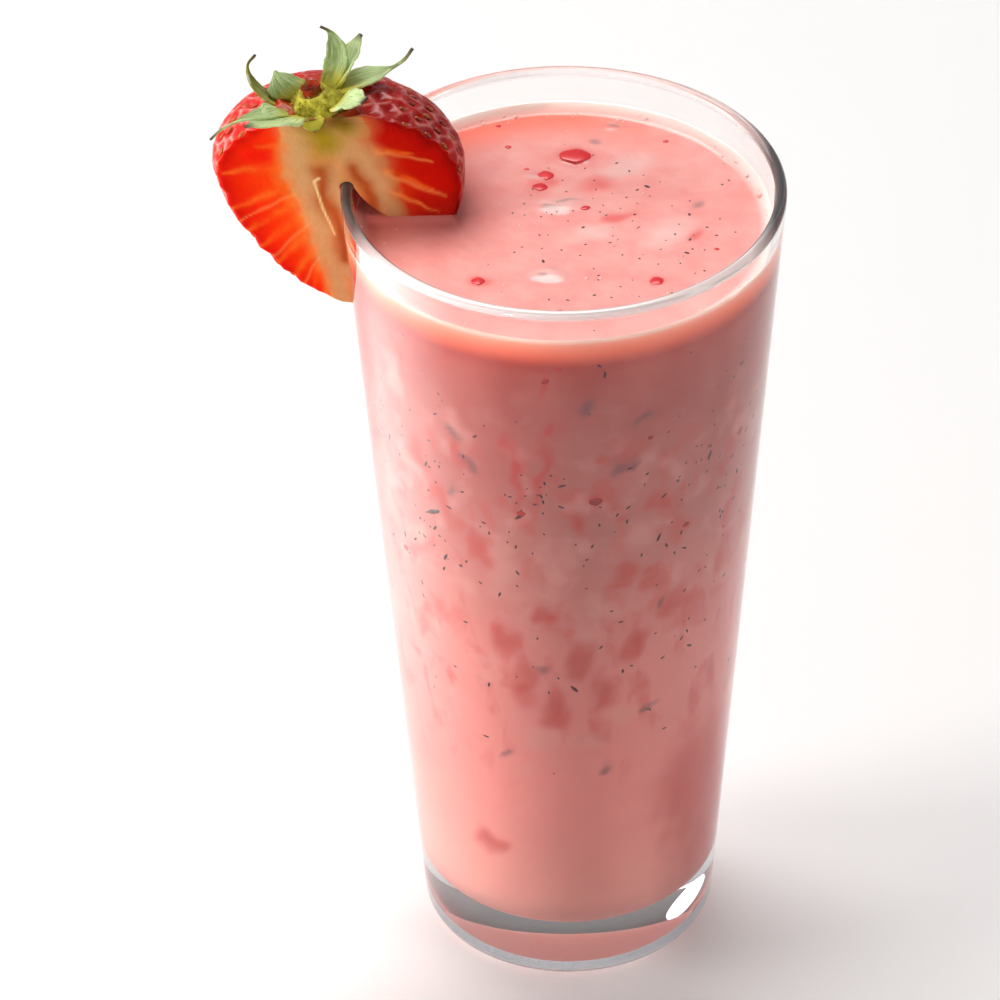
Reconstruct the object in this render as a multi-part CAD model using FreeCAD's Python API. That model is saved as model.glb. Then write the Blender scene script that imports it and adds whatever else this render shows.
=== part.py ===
"""Strawberry smoothie in a tall tapered tumbler, with part of a strawberry slotted over the rim.

Millimetres, +Z up. The origin is the middle of the glass's foot, on the table plane.
The strawberry sits at the -X side of the rim. Its flat cut face looks towards -Y.
"""

import FreeCAD, Part
import math
import os

from FreeCAD import Matrix, Placement, Rotation, Vector

# Tumbler
glass_height = 150.0
rim_radius = 36.8          # outer, at the rim
base_radius = 25.0         # outer, where the wall line would meet the table
rim_wall = 2.0             # wall at the rim, which is rounded over
lower_wall = 2.8           # wall where it meets the inside floor
floor_thickness = 10.0     # solid glass under the drink
foot_round = 3.6           # radius of the outer bottom corner
floor_round = 9.0          # radius of the inner bottom corner
punt_radius = 15.0         # shallow hollow under the foot
punt_depth = 0.8

# Drink
head_space = 7.5           # from the rim down to the level of the drink
meniscus_rise = 1.5        # how far the drink climbs the glass
meniscus_width = 2.2

# Strawberry: round sections on a slanting axis, with a slice cut off its front
berry_radius = 20.6        # at the widest place
berry_depth_share = 0.92   # its depth, front to back, of its width
berry_crown = 12.8         # from the widest place up to the top
berry_taper = 27.6         # from the widest place down to the tip
taper_power = 1.5
taper_root = 0.6
dimple_radius = 6.5        # hollow at the crown that holds the calyx
dimple_depth = 1.4
dimple_shift = 1.7         # how far outwards of the axis the hollow lies
berry_slant = 0.13         # how far the axis moves outwards for each millimetre up
berry_outset = 0.2         # axis at the widest place, beyond the rim's outer edge
berry_widest_above_rim = 1.0
face_setback = 2.0         # the cut face stands this far behind the glass's middle plane
axis_behind_face = 5.0     # the cut misses the berry's axis by this much
profile_steps = 24

# Slit that the rim stands in
slit_clearance = 0.2       # between flesh and glass, on each side and on top
slit_opening = 8.5         # how far the inner lobe spreads from the glass
slit_opening_height = 9.0  # over this much height below the rim

# Calyx and stem
hub_radius = 4.8
hub_height = 4.1           # from its flat foot to the top of its dome
hub_sink = 0.7             # how deep the middle of the foot is set into the flesh
calyx_lean = 16.0          # degrees, crown outwards
sepal_root = 1.6           # distance of a sepal's root from the calyx's middle
sepal_root_height = 2.6    # and its height above the hub's foot
sepal_thickness = 0.7
sepal_tip_share = 0.08     # width left at the tip, of the full width
stem_radius = 1.4
stem_height = 2.0

# name: azimuth, length, width, rise at the root, turn along the length, extra turn near the tip (degrees)
sepals = {
    "long_left": (212.0, 20.0, 5.0, 48.0, -30.0, -44.0),
    "broad_left": (214.0, 12.5, 7.0, 22.0, -16.0, 36.0),
    "upright_left": (171.0, 16.5, 3.6, 8.0, 84.0, 74.0),
    "rear_left": (142.0, 10.5, 6.0, 108.0, -80.0, -90.0),
    "rear_tall": (62.0, 12.5, 6.0, 28.0, 26.0, 62.0),
    "rear_right": (50.0, 12.0, 5.6, 27.0, -10.0, -14.0),
    "long_right": (28.0, 17.0, 5.4, -3.0, -50.0, 82.0),
    "front_right": (323.0, 8.5, 5.4, 30.0, -36.0, 20.0),
    "front_stub": (270.0, 4.6, 4.4, 8.0, -60.0, 0.0),
}
sepal_sections = 8


def arc(a, b, c):
    return Part.Arc(a, b, c).toShape()


def revolve(edges, turn=360.0):
    """A solid of revolution about Z from a closed profile in the XZ plane."""
    face = Part.Face(Part.Wire(edges))
    return face.revolve(Vector(0, 0, 0), Vector(0, 0, 1), turn)


def polyline(points):
    """Edges along the points and back to the first."""
    return [Part.LineSegment(a, b).toShape() for a, b in zip(points, points[1:] + points[:1])]


class Tumbler:
    """The glass's profile. Radii at a height come from the straight wall lines, which meet the rim's bead tangentially."""

    def __init__(self):
        bead = rim_wall / 2
        self.bead_centre = (rim_radius - bead, glass_height - bead)
        self.outer_slope = math.atan2(rim_radius - base_radius, glass_height)
        self.outer_tangent = self.bead_point(self.outer_slope)
        floor_inner = self.outer(floor_thickness) - lower_wall
        self.inner_slope = math.atan2(rim_radius - rim_wall - floor_inner, glass_height - floor_thickness)
        self.inner_tangent = self.bead_point(math.pi + self.inner_slope)

    def bead_point(self, wall_angle):
        """The point of the bead whose normal is square to a wall leaning by this angle."""
        bead = rim_wall / 2
        return (
            self.bead_centre[0] + bead * math.cos(wall_angle),
            self.bead_centre[1] - bead * math.sin(wall_angle),
        )

    def outer(self, z):
        r, top = self.outer_tangent
        return r - (top - z) * math.tan(self.outer_slope)

    def inner(self, z):
        r, top = self.inner_tangent
        return r - (top - z) * math.tan(self.inner_slope)


def foot_edge(solid, z, radius):
    """The circular edge of a solid of revolution at that height and radius."""
    for edge in solid.Edges:
        curve = edge.Curve
        if isinstance(curve, Part.Circle) and abs(curve.Center.z - z) < 1e-4 and abs(curve.Radius - radius) < 1e-3:
            return edge
    raise ValueError("no edge at height %g and radius %g" % (z, radius))


def make_cavity(tumbler):
    """The inside of the tumbler up to its rim, with a rounded floor."""
    r_floor = tumbler.inner(floor_thickness)
    r_top, z_top = tumbler.inner_tangent
    solid = revolve(polyline([
        Vector(0, 0, floor_thickness),
        Vector(r_floor, 0, floor_thickness),
        Vector(r_top, 0, z_top),
        Vector(0, 0, z_top),
    ]))
    return solid.makeFillet(floor_round, [foot_edge(solid, floor_thickness, r_floor)])


def make_blank(tumbler):
    """The tumbler's outside with its bead, filled in, and with the punt under its foot."""
    r_out, z_out = tumbler.outer_tangent
    r_in, z_in = tumbler.inner_tangent
    top = Vector(tumbler.bead_centre[0], 0, glass_height)
    corner = Vector(tumbler.outer(0), 0, 0)
    outside = Vector(r_out, 0, z_out)
    inside = Vector(r_in, 0, z_in)
    axis_top = Vector(0, 0, z_in)
    axis_foot = Vector(0, 0, 0)
    solid = revolve([
        Part.LineSegment(axis_foot, corner).toShape(),
        Part.LineSegment(corner, outside).toShape(),
        arc(outside, top, inside),
        Part.LineSegment(inside, axis_top).toShape(),
        Part.LineSegment(axis_top, axis_foot).toShape(),
    ])
    solid = solid.makeFillet(foot_round, [foot_edge(solid, 0, corner.x)])
    ball_radius = (punt_radius ** 2 + punt_depth ** 2) / (2 * punt_depth)
    ball = Part.makeSphere(ball_radius, Vector(0, 0, punt_depth - ball_radius))
    return solid.cut(ball)


def make_air(tumbler, level):
    """The space above the drink: flat in the middle, with a hollow curve where the drink climbs the glass."""
    edge_z = level + meniscus_rise
    wall = Vector(tumbler.inner(edge_z), 0, edge_z)
    flat = Vector(tumbler.inner(level) - meniscus_width, 0, level)
    middle = Vector((wall.x + flat.x) / 2 + meniscus_width * 0.12, 0, level + meniscus_rise * 0.3)
    high = glass_height + 1.0
    beyond = Vector(rim_radius, 0, edge_z)
    return revolve([
        Part.LineSegment(Vector(0, 0, level), flat).toShape(),
        arc(flat, middle, wall),
        Part.LineSegment(wall, beyond).toShape(),
        Part.LineSegment(beyond, Vector(rim_radius, 0, high)).toShape(),
        Part.LineSegment(Vector(rim_radius, 0, high), Vector(0, 0, high)).toShape(),
        Part.LineSegment(Vector(0, 0, high), Vector(0, 0, level)).toShape(),
    ])


def berry_profile(angle):
    """A point of the skin: a quarter ellipse for angles above 0, a blunt cone with a round tip for those below."""
    rise = math.sin(angle)
    if rise >= 0:
        return Vector(berry_radius * math.cos(angle), 0, berry_crown * rise)
    return Vector(berry_radius * (1 - (-rise) ** taper_power) ** taper_root, 0, berry_taper * rise)


def dimple_floor():
    """Height of the hollow's middle above the berry's widest place."""
    return berry_crown * math.sqrt(1 - (dimple_radius / berry_radius) ** 2) - dimple_depth


def make_whole_berry():
    """The berry about the Z axis with its widest place at z = 0, hollowed at the crown but not yet cut."""
    quarter = profile_steps // 2
    points = [berry_profile(math.pi / 2 * i / quarter) for i in range(-quarter, quarter + 1)]
    skin = Part.BSplineCurve()
    skin.interpolate(points)
    berry = revolve([skin.toShape(), Part.LineSegment(points[-1], points[0]).toShape()])
    ball_radius = (dimple_radius ** 2 + dimple_depth ** 2) / (2 * dimple_depth)
    return berry.cut(Part.makeSphere(ball_radius, Vector(-dimple_shift, 0, dimple_floor() + ball_radius)))


def berry_middle(s):
    """A point of the berry's slanting axis, at the height s above its widest place."""
    return Vector(
        -(rim_radius + berry_outset + berry_slant * s),
        face_setback + axis_behind_face,
        glass_height + berry_widest_above_rim + s,
    )


def make_slit(tumbler):
    """What the glass and the spread of the slit take out of the berry, as a body of revolution about the glass."""
    top = glass_height + slit_clearance
    low = glass_height - 2 * (berry_taper + berry_crown)
    opened = glass_height - slit_opening_height
    outer_low = Vector(tumbler.outer(low) + slit_clearance, 0, low)
    outer_top = Vector(rim_radius + slit_clearance, 0, glass_height - rim_wall / 2)
    crest = Vector(tumbler.bead_centre[0], 0, top)
    inner_top = Vector(rim_radius - rim_wall - slit_clearance, 0, glass_height - rim_wall / 2)
    spread = Vector(tumbler.inner(opened) - slit_opening, 0, opened)
    bulge = Vector(inner_top.x - slit_opening * 0.42, 0, glass_height - slit_opening_height * 0.62)
    spread_low = Vector(tumbler.inner(low) - slit_opening, 0, low)
    return revolve([
        Part.LineSegment(outer_low, outer_top).toShape(),
        arc(outer_top, crest, inner_top),
        arc(inner_top, bulge, spread),
        Part.LineSegment(spread, spread_low).toShape(),
        Part.LineSegment(spread_low, outer_low).toShape(),
    ])


def make_berry(tumbler):
    """The berry with its front sliced off and its slit, with the lobe inside the glass left on."""
    middle = berry_middle(0)
    slanted = Matrix(
        1, 0, -berry_slant, middle.x,
        0, berry_depth_share, 0, middle.y,
        0, 0, 1, middle.z,
    )
    berry = make_whole_berry().transformGeometry(slanted)
    reach = 4 * berry_radius
    front = Part.makeBox(reach, reach, 2 * reach, Vector(
        -rim_radius - berry_outset - reach / 2, face_setback - reach, glass_height - reach))
    berry = berry.cut(front).cut(make_slit(tumbler))
    return max(berry.Solids, key=lambda piece: piece.Volume)


def calyx_placement():
    """The middle of the hollow, leaning outwards."""
    seat = berry_middle(dimple_floor() - hub_sink) - Vector(dimple_shift, 0, 0)
    return Placement(seat, Rotation(Vector(0, 1, 0), -calyx_lean))


def sepal_width(share):
    """Widest near a third of the length, narrowing to a small tip."""
    swell = math.sin(math.pi * min(1.0, 0.22 + 0.78 * share) ** 1.15)
    return max(sepal_tip_share, swell)


def make_sepal(azimuth, length, width, rise, turn, tip_turn):
    """A leaf lofted along a curved line that starts at the hub, leaves it at an angle and turns as it goes."""
    step = length / (sepal_sections - 1)
    out, up = sepal_root, sepal_root_height
    wires = []
    for i in range(sepal_sections):
        share = i / (sepal_sections - 1)
        angle = math.radians(rise + turn * share + tip_turn * share ** 3)
        if i:
            out += step * math.cos(angle)
            up += step * math.sin(angle)
        half = width / 2 * sepal_width(share)
        thick = sepal_thickness / 2 * (1 - 0.5 * share)
        normal = (-math.sin(angle), math.cos(angle))
        corners = [
            Vector(out, half, up),
            Vector(out + normal[0] * thick, 0, up + normal[1] * thick),
            Vector(out, -half, up),
            Vector(out - normal[0] * thick, 0, up - normal[1] * thick),
        ]
        wires.append(Part.Wire(polyline(corners)))
    leaf = Part.makeLoft(wires, True, False)
    leaf.rotate(Vector(0, 0, 0), Vector(0, 0, 1), azimuth)
    return leaf


def make_calyx():
    """A domed hub on a flat foot, with its sepals, and a socket for the stem."""
    ball_radius = (hub_radius ** 2 + hub_height ** 2) / (2 * hub_height)
    dome = Part.makeSphere(ball_radius, Vector(0, 0, hub_height - ball_radius))
    hub = dome.common(Part.makeCylinder(2 * hub_radius, 2 * hub_height))
    calyx = hub.fuse([make_sepal(*leaf) for leaf in sepals.values()])
    calyx = calyx.cut(Part.makeCylinder(stem_radius, 2 * hub_height, Vector(0, 0, hub_height - stem_height / 2)))
    calyx.Placement = calyx_placement()
    return calyx


def make_stem():
    """The snapped-off stem, standing in the hub's socket."""
    stem = Part.makeCylinder(stem_radius, stem_height, Vector(0, 0, hub_height - stem_height / 2))
    stem.Placement = calyx_placement()
    return stem


def main():
    tumbler = Tumbler()
    cavity = make_cavity(tumbler)
    blank = make_blank(tumbler)
    berry = make_berry(tumbler)
    calyx = make_calyx()
    drink = cavity.cut(make_air(tumbler, glass_height - head_space)).cut(berry)
    nodes = {
        "glass": blank.cut(cavity),
        "smoothie": drink,
        "strawberry": berry.cut(calyx),
        "calyx": calyx,
        "stem": make_stem(),
    }
    os.makedirs("parts", exist_ok=True)
    for name, shape in nodes.items():
        box = shape.BoundBox
        print("%-12s solids %d valid %s volume %.1f  x %.1f..%.1f y %.1f..%.1f z %.1f..%.1f" % (
            name, len(shape.Solids), shape.isValid(), shape.Volume,
            box.XMin, box.XMax, box.YMin, box.YMax, box.ZMin, box.ZMax))
        shape.exportStep("parts/%s.step" % name)


main()
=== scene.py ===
import math

import bpy
import numpy as np
from mathutils import Matrix, Vector


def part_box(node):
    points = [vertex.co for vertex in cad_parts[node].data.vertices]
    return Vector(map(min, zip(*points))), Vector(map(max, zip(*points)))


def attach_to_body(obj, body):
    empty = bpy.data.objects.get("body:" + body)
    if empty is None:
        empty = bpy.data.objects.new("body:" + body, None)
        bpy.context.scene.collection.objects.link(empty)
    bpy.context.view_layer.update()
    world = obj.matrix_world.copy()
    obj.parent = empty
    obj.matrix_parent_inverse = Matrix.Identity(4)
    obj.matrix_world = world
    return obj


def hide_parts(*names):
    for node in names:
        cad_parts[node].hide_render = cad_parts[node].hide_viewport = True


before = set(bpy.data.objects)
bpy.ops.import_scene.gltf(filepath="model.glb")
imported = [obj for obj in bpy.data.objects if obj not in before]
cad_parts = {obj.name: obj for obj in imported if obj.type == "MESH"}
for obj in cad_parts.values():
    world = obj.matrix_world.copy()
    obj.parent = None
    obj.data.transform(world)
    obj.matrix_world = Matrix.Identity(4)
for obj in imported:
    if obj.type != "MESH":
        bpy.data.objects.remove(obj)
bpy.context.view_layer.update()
glassLow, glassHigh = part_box("glass")
mm = 0.001  # shapes are worked out in millimetres and stored in metres
seeded = np.random.default_rng(11)
print("frame loaded:", sorted(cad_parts))


# ---- mesh helpers

def meshPiece(name, points, faces, smooth=True):
    # one object at the origin from points in millimetres and a list or array of faces
    mesh = bpy.data.meshes.new(name)
    mesh.from_pydata(np.asarray(points) * mm, [], [list(f) for f in np.asarray(faces, dtype=object)])
    mesh.polygons.foreach_set("use_smooth", np.full(len(mesh.polygons), smooth))
    mesh.update()
    piece = bpy.data.objects.new(name, mesh)
    bpy.context.scene.collection.objects.link(piece)
    return piece


def gridFaces(rows, columns, wrapRows=False, wrapColumns=True):
    # quads (i, j) (i, j+1) (i+1, j+1) (i+1, j), outward when rows climb and columns go anticlockwise
    rowCount, columnCount = rows - (not wrapRows), columns - (not wrapColumns)
    i, j = np.meshgrid(np.arange(rowCount), np.arange(columnCount), indexing="ij")
    up, on = (i + 1) % rows, (j + 1) % columns
    quads = np.stack([i * columns + j, i * columns + on, up * columns + on, up * columns + j], -1)
    return quads.reshape(-1, 4)


def endFans(rows, columns):
    # triangles from a grid's first and last rows to two poles, whose points follow the grid's own
    j = np.arange(columns)
    on, last = (j + 1) % columns, (rows - 1) * columns
    pole = np.full(columns, rows * columns)
    return np.stack([pole, on, j], -1), np.stack([pole + 1, last + j, last + on], -1)


def closedPiece(name, grid, startPole, endPole):
    # rings of points closed by a fan of triangles at each end
    rows, columns = grid.shape[:2]
    points = np.vstack([grid.reshape(-1, 3), [startPole], [endPole]])
    start, end = endFans(rows, columns)
    return meshPiece(name, points, gridFaces(rows, columns).tolist() + start.tolist() + end.tolist())


def lathe(profile, columns):
    # point (r, z) turned to (r cos a, r sin a, z) for even angles a
    a = np.linspace(0, 2 * np.pi, columns, endpoint=False)
    r, z = profile[:, :1], profile[:, 1:]
    return np.stack([r * np.cos(a), r * np.sin(a), z + 0 * a], -1)


def arcPoints(centre, radius, start, end, steps):
    # centre + radius (cos t, sin t), t even from start to end degrees
    t = np.radians(np.linspace(start, end, steps))
    return np.column_stack([centre[0] + radius * np.cos(t), centre[1] + radius * np.sin(t)])


def setFloat(piece, name, values):
    attribute = piece.data.attributes.new(name, "FLOAT", "POINT")
    attribute.data.foreach_set("value", np.asarray(values, np.float32).ravel())


def scatter(name, template, faces, centres, axes, sizes):
    # copies of a unit shape: centre + sum of axis * size * unit coordinate, joined in one mesh
    template = np.asarray(template)
    points = centres[:, None, :] + np.einsum("pk,nk,nkc->npc", template, sizes, axes)
    shift = np.arange(len(centres))[:, None, None] * len(template)
    return meshPiece(name, points.reshape(-1, 3), (faces[None] + shift).reshape(-1, faces.shape[1]))


def unitBall(rows, columns):
    # points and triangles of a small ball: rings at even polar angles with a pole at each end
    polar = np.pi * np.arange(1, rows) / rows
    turn = 2 * np.pi * np.arange(columns) / columns
    ring = np.stack([np.outer(np.sin(polar), np.cos(turn)), np.outer(np.sin(polar), np.sin(turn)),
                     np.outer(-np.cos(polar), np.ones(columns))], -1).reshape(-1, 3)
    quads = gridFaces(rows - 1, columns)
    triangles = np.vstack([quads[:, [0, 1, 2]], quads[:, [0, 2, 3]], *endFans(rows - 1, columns)])
    return np.vstack([ring, [[0, 0, -1], [0, 0, 1]]]), triangles


def lyingBall(rows, columns):
    # the same ball with its poles on its first axis
    points, triangles = unitBall(rows, columns)
    return points[:, [2, 0, 1]], triangles


def unit(v):
    return v / np.maximum(np.linalg.norm(v, axis=-1, keepdims=True), 1e-9)


def attach(piece, slotName, *nodes):
    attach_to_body(piece, "root")
    if nodes:
        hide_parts(*nodes)


# ---- material helpers

def setInputs(node, inputs):
    # each input linked to a socket or set to a value
    for key, value in inputs.items():
        if isinstance(value, bpy.types.NodeSocket):
            node.id_data.links.new(value, node.inputs[key])
        else:
            node.inputs[key].default_value = value


def addNode(tree, kind, inputs=None, **settings):
    node = tree.nodes.new(kind)
    for key, value in settings.items():
        setattr(node, key, value)
    setInputs(node, inputs or {})
    return node


def newMaterial(name):
    material = bpy.data.materials.new(name)
    material.use_nodes = True
    return material, material.node_tree, material.node_tree.nodes["Principled BSDF"]


def rgb(r, g, b):
    # a screen colour from 0 to 255 as the linear colour that nodes use
    c = np.array([r, g, b]) / 255
    return (*np.where(c <= 0.04045, c / 12.92, ((c + 0.055) / 1.055) ** 2.4), 1.0)


def ramp(tree, factor, stops):
    # stops of place and colour, or place and grey
    node = addNode(tree, "ShaderNodeValToRGB", {0: factor})
    while len(node.color_ramp.elements) < len(stops):
        node.color_ramp.elements.new(0.5)
    for element, (place, colour) in zip(node.color_ramp.elements, stops):
        element.position = place
        element.color = colour if hasattr(colour, "__len__") else (colour, colour, colour, 1)
    return node.outputs[0]


def mixColour(tree, factor, a, b):
    return addNode(tree, "ShaderNodeMix", {0: factor, 6: a, 7: b}, data_type="RGBA").outputs[2]


def maths(tree, operation, a, b=0.0):
    return addNode(tree, "ShaderNodeMath", {0: a, 1: b}, operation=operation).outputs[0]


def product(tree, a, b):
    return maths(tree, "MULTIPLY", a, b)


def uneven(tree, value, cloud, spread):
    # value + spread (cloud - 0.5)
    return maths(tree, "ADD", value, product(tree, maths(tree, "SUBTRACT", cloud, 0.5), spread))


def tint(tree, colour, amount, strength, tone):
    # the tone laid over the colour, as much as amount * strength
    return mixColour(tree, product(tree, amount, strength), colour, tone)


def noise(tree, vector, scale, detail=2.0, roughness=0.5, distortion=0.0):
    return addNode(tree, "ShaderNodeTexNoise", {"Vector": vector, "Scale": scale, "Detail": detail,
                                                "Roughness": roughness, "Distortion": distortion}).outputs[0]


def objectPlace(tree):
    return addNode(tree, "ShaderNodeTexCoord").outputs["Object"]


def placeParts(tree, place, axes):
    # the wanted ones of X, Y and Z, in metres
    apart = addNode(tree, "ShaderNodeSeparateXYZ", {0: place})
    return [apart.outputs[axis] for axis in axes]


def axisDistance(tree, x, y):
    # sqrt(x^2 + y^2)
    return maths(tree, "SQRT", maths(tree, "ADD", product(tree, x, x), product(tree, y, y)))


def stretched(tree, place, upwards):
    return addNode(tree, "ShaderNodeMapping", {"Vector": place, "Scale": (1.0, 1.0, upwards)}).outputs[0]


def attribute(tree, name):
    return addNode(tree, "ShaderNodeAttribute", attribute_name=name).outputs["Fac"]


def between(tree, value, low, high, atLow=0.0, atHigh=1.0):
    # atLow at low, atHigh at high, held outside
    return addNode(tree, "ShaderNodeMapRange", {0: value, 1: low, 2: high, 3: atLow, 4: atHigh}).outputs[0]


def bump(tree, height, distance, strength):
    inputs = {"Height": height, "Distance": distance, "Strength": strength}
    return addNode(tree, "ShaderNodeBump", inputs).outputs[0]


# ---- camera, floor and light

camera = {
    "target": (-11.2, 0.0, 85.78),  # mm
    "distance": 1201.2,
    "elevation": 36.73,  # degrees above the horizon, looking along +Y
    "roll": -0.82,
    "lens": 254.4,
}


def addCamera(c):
    data = bpy.data.cameras.new("camera")
    data.lens, data.sensor_width = c["lens"], 36.0
    data.clip_start, data.clip_end = 0.05, 30.0
    eye = bpy.data.objects.new("camera", data)
    bpy.context.scene.collection.objects.link(eye)
    e, roll = math.radians(c["elevation"]), math.radians(c["roll"])
    ahead = Vector((0, math.cos(e), -math.sin(e)))
    right, up = Vector((1, 0, 0)), Vector((0, math.sin(e), math.cos(e)))
    side = right * math.cos(roll) + up * math.sin(roll)
    top = up * math.cos(roll) - right * math.sin(roll)
    turn = Matrix((side, top, -ahead)).transposed().to_4x4()
    place = (Vector(c["target"]) - ahead * c["distance"]) * mm
    eye.matrix_world = Matrix.Translation(place) @ turn
    bpy.context.scene.camera = eye


lamps = {
    # place, where it points, size (mm), power (W), colour
    "overhead": ((-120, 380, 900), (0, 0, 130), (620, 420), 6.0, (1.0, 0.985, 0.97)),
    "leftKey": ((-760, -60, 330), (0, 0, 90), (380, 420), 4.6, (1.0, 0.975, 0.95)),
    "rightWindow": ((600, -240, 430), (0, 0, 130), (160, 380), 1.05, (1.0, 0.99, 0.98)),
    "backLeft": ((-470, 420, 500), (0, 0, 10), (300, 300), 0.45, (1.0, 1.0, 1.0)),
}
spots = {
    # place, where it points (mm), cone (degrees), power (W), radius (mm)
    "berrySpot": ((-420, -760, 330), (-52, 0, 152), 7.0, 24.0, 60.0),
    "floorSpot": ((-420, 160, 760), (-180, 30, 0), 17.0, 70.0, 40.0),  # a bright patch that the glass mirrors
}


def addLamp(name, place, aim, size, power, colour):
    data = bpy.data.lights.new(name, "AREA")
    data.shape, data.size, data.size_y = "ELLIPSE", size[0] * mm, size[1] * mm
    data.energy, data.color = power, colour
    standLamp(name, data, place, aim)


def addSpot(name, place, aim, cone, power, radius):
    data = bpy.data.lights.new(name, "SPOT")
    data.spot_size, data.spot_blend = math.radians(cone), 1.0
    data.energy, data.shadow_soft_size = power, radius * mm
    standLamp(name, data, place, aim)


def standLamp(name, data, place, aim):
    lamp = bpy.data.objects.new(name, data)
    bpy.context.scene.collection.objects.link(lamp)
    lamp.location = Vector(place) * mm
    lamp.rotation_euler = (Vector(aim) - Vector(place)).to_track_quat("-Z", "Y").to_euler()


def addRoom():
    # a pale floor, and surroundings that are pale at the horizon and dim overhead
    half = 6000.0  # mm
    floor = meshPiece("floor", [(-half, -half, 0), (half, -half, 0), (half, half, 0), (-half, half, 0)],
                      [(0, 1, 2, 3)], smooth=False)
    material, _, shader = newMaterial("palePaper")
    setInputs(shader, {"Base Color": (0.93, 0.93, 0.93, 1), "Roughness": 0.7, "Specular IOR Level": 0.2})
    floor.data.materials.append(material)
    world = bpy.data.worlds.new("room")
    world.use_nodes = True
    bpy.context.scene.world = world
    tree = world.node_tree
    direction = addNode(tree, "ShaderNodeTexCoord").outputs["Generated"]
    height, = placeParts(tree, direction, "Z")
    tone = ramp(tree, height, [(0.0, 0.5), (0.3, 0.34), (0.62, 0.2), (0.8, 0.05)])
    setInputs(tree.nodes["Background"], {0: tone})
    bpy.context.scene.view_settings.view_transform = "Standard"


addCamera(camera)
addRoom()
for lampName, lamp in lamps.items():
    addLamp(lampName, *lamp)
for spotName, spot in spots.items():
    addSpot(spotName, *spot)
print("camera, floor and lamps placed")


# ---- glass

glass = {
    "height": glassHigh.z / mm,
    "rimRadius": glassHigh.x / mm,
    "footRadius": 25.0,
    "rimWall": 2.0,
    "lowerWall": 2.8,
    "floorThickness": 10.0,
    "footRound": 3.6,
    "floorRound": 9.0,
    "puntRadius": 15.0,
    "puntDepth": 0.8,
    "innermost": 0.6,  # the last ring of the floor, before the middle
    "columns": 256,
    "paintedLipShading": 0.68,  # how far the lip's painted highlight and painted dark reflections take it from clear
}


class Walls:
    # straight wall lines that meet the rim's round bead at a tangent;
    # radius at z = top radius - (top - z) tan(slope)
    def __init__(self, g):
        bead = g["rimWall"] / 2
        self.beadCentre = (g["rimRadius"] - bead, g["height"] - bead)
        self.outerSlope = math.atan2(g["rimRadius"] - g["footRadius"], g["height"])
        self.outerTop = self.onBead(bead, self.outerSlope)
        floorInner = self.outer(g["floorThickness"]) - g["lowerWall"]
        self.innerSlope = math.atan2(g["rimRadius"] - g["rimWall"] - floorInner,
                                     g["height"] - g["floorThickness"])
        self.innerTop = self.onBead(bead, math.pi + self.innerSlope)

    def onBead(self, bead, angle):
        return (self.beadCentre[0] + bead * math.cos(angle), self.beadCentre[1] - bead * math.sin(angle))

    def outer(self, z):
        return self.outerTop[0] - (self.outerTop[1] - z) * math.tan(self.outerSlope)

    def inner(self, z):
        return self.innerTop[0] - (self.innerTop[1] - z) * math.tan(self.innerSlope)


walls = Walls(glass)


def cornerArc(wall, slope, floorZ, radius, steps, upwards):
    # the round between a flat floor and a leaning wall: its centre is one radius from both
    z = floorZ + radius
    centre = (wall(z) - radius / math.cos(slope), z)
    low, high = -90.0, -math.degrees(slope)
    return arcPoints(centre, radius, *((low, high) if upwards else (high, low)), steps)


def buildGlass(g):
    # one profile, from under the foot up the outside, over the bead and down the inside, turned about Z
    r = np.linspace(0, g["puntRadius"], 14)[1:]
    punt = np.column_stack([r, g["puntDepth"] * (1 - (r / g["puntRadius"]) ** 2)])
    foot = cornerArc(walls.outer, walls.outerSlope, 0.0, g["footRound"], 12, True)
    bead = arcPoints(walls.beadCentre, g["rimWall"] / 2, -math.degrees(walls.outerSlope),
                     180 + math.degrees(walls.innerSlope), 26)
    corner = cornerArc(walls.inner, walls.innerSlope, g["floorThickness"], g["floorRound"], 16, False)
    profile = np.vstack([
        punt,
        np.linspace(punt[-1], foot[0], 4)[1:-1],
        foot,
        np.linspace(foot[-1], bead[0], 26)[1:-1],
        bead,
        np.linspace(bead[-1], corner[0], 26)[1:-1],
        corner,
        np.linspace(corner[-1], (g["innermost"], g["floorThickness"]), 8)[1:],
    ])
    piece = closedPiece("tumblerGlass", lathe(profile, g["columns"]), (0, 0, g["puntDepth"]),
                        (0, 0, g["floorThickness"]))
    piece.data.materials.append(clearGlass())
    attach(piece, "glass", "glass")


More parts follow.
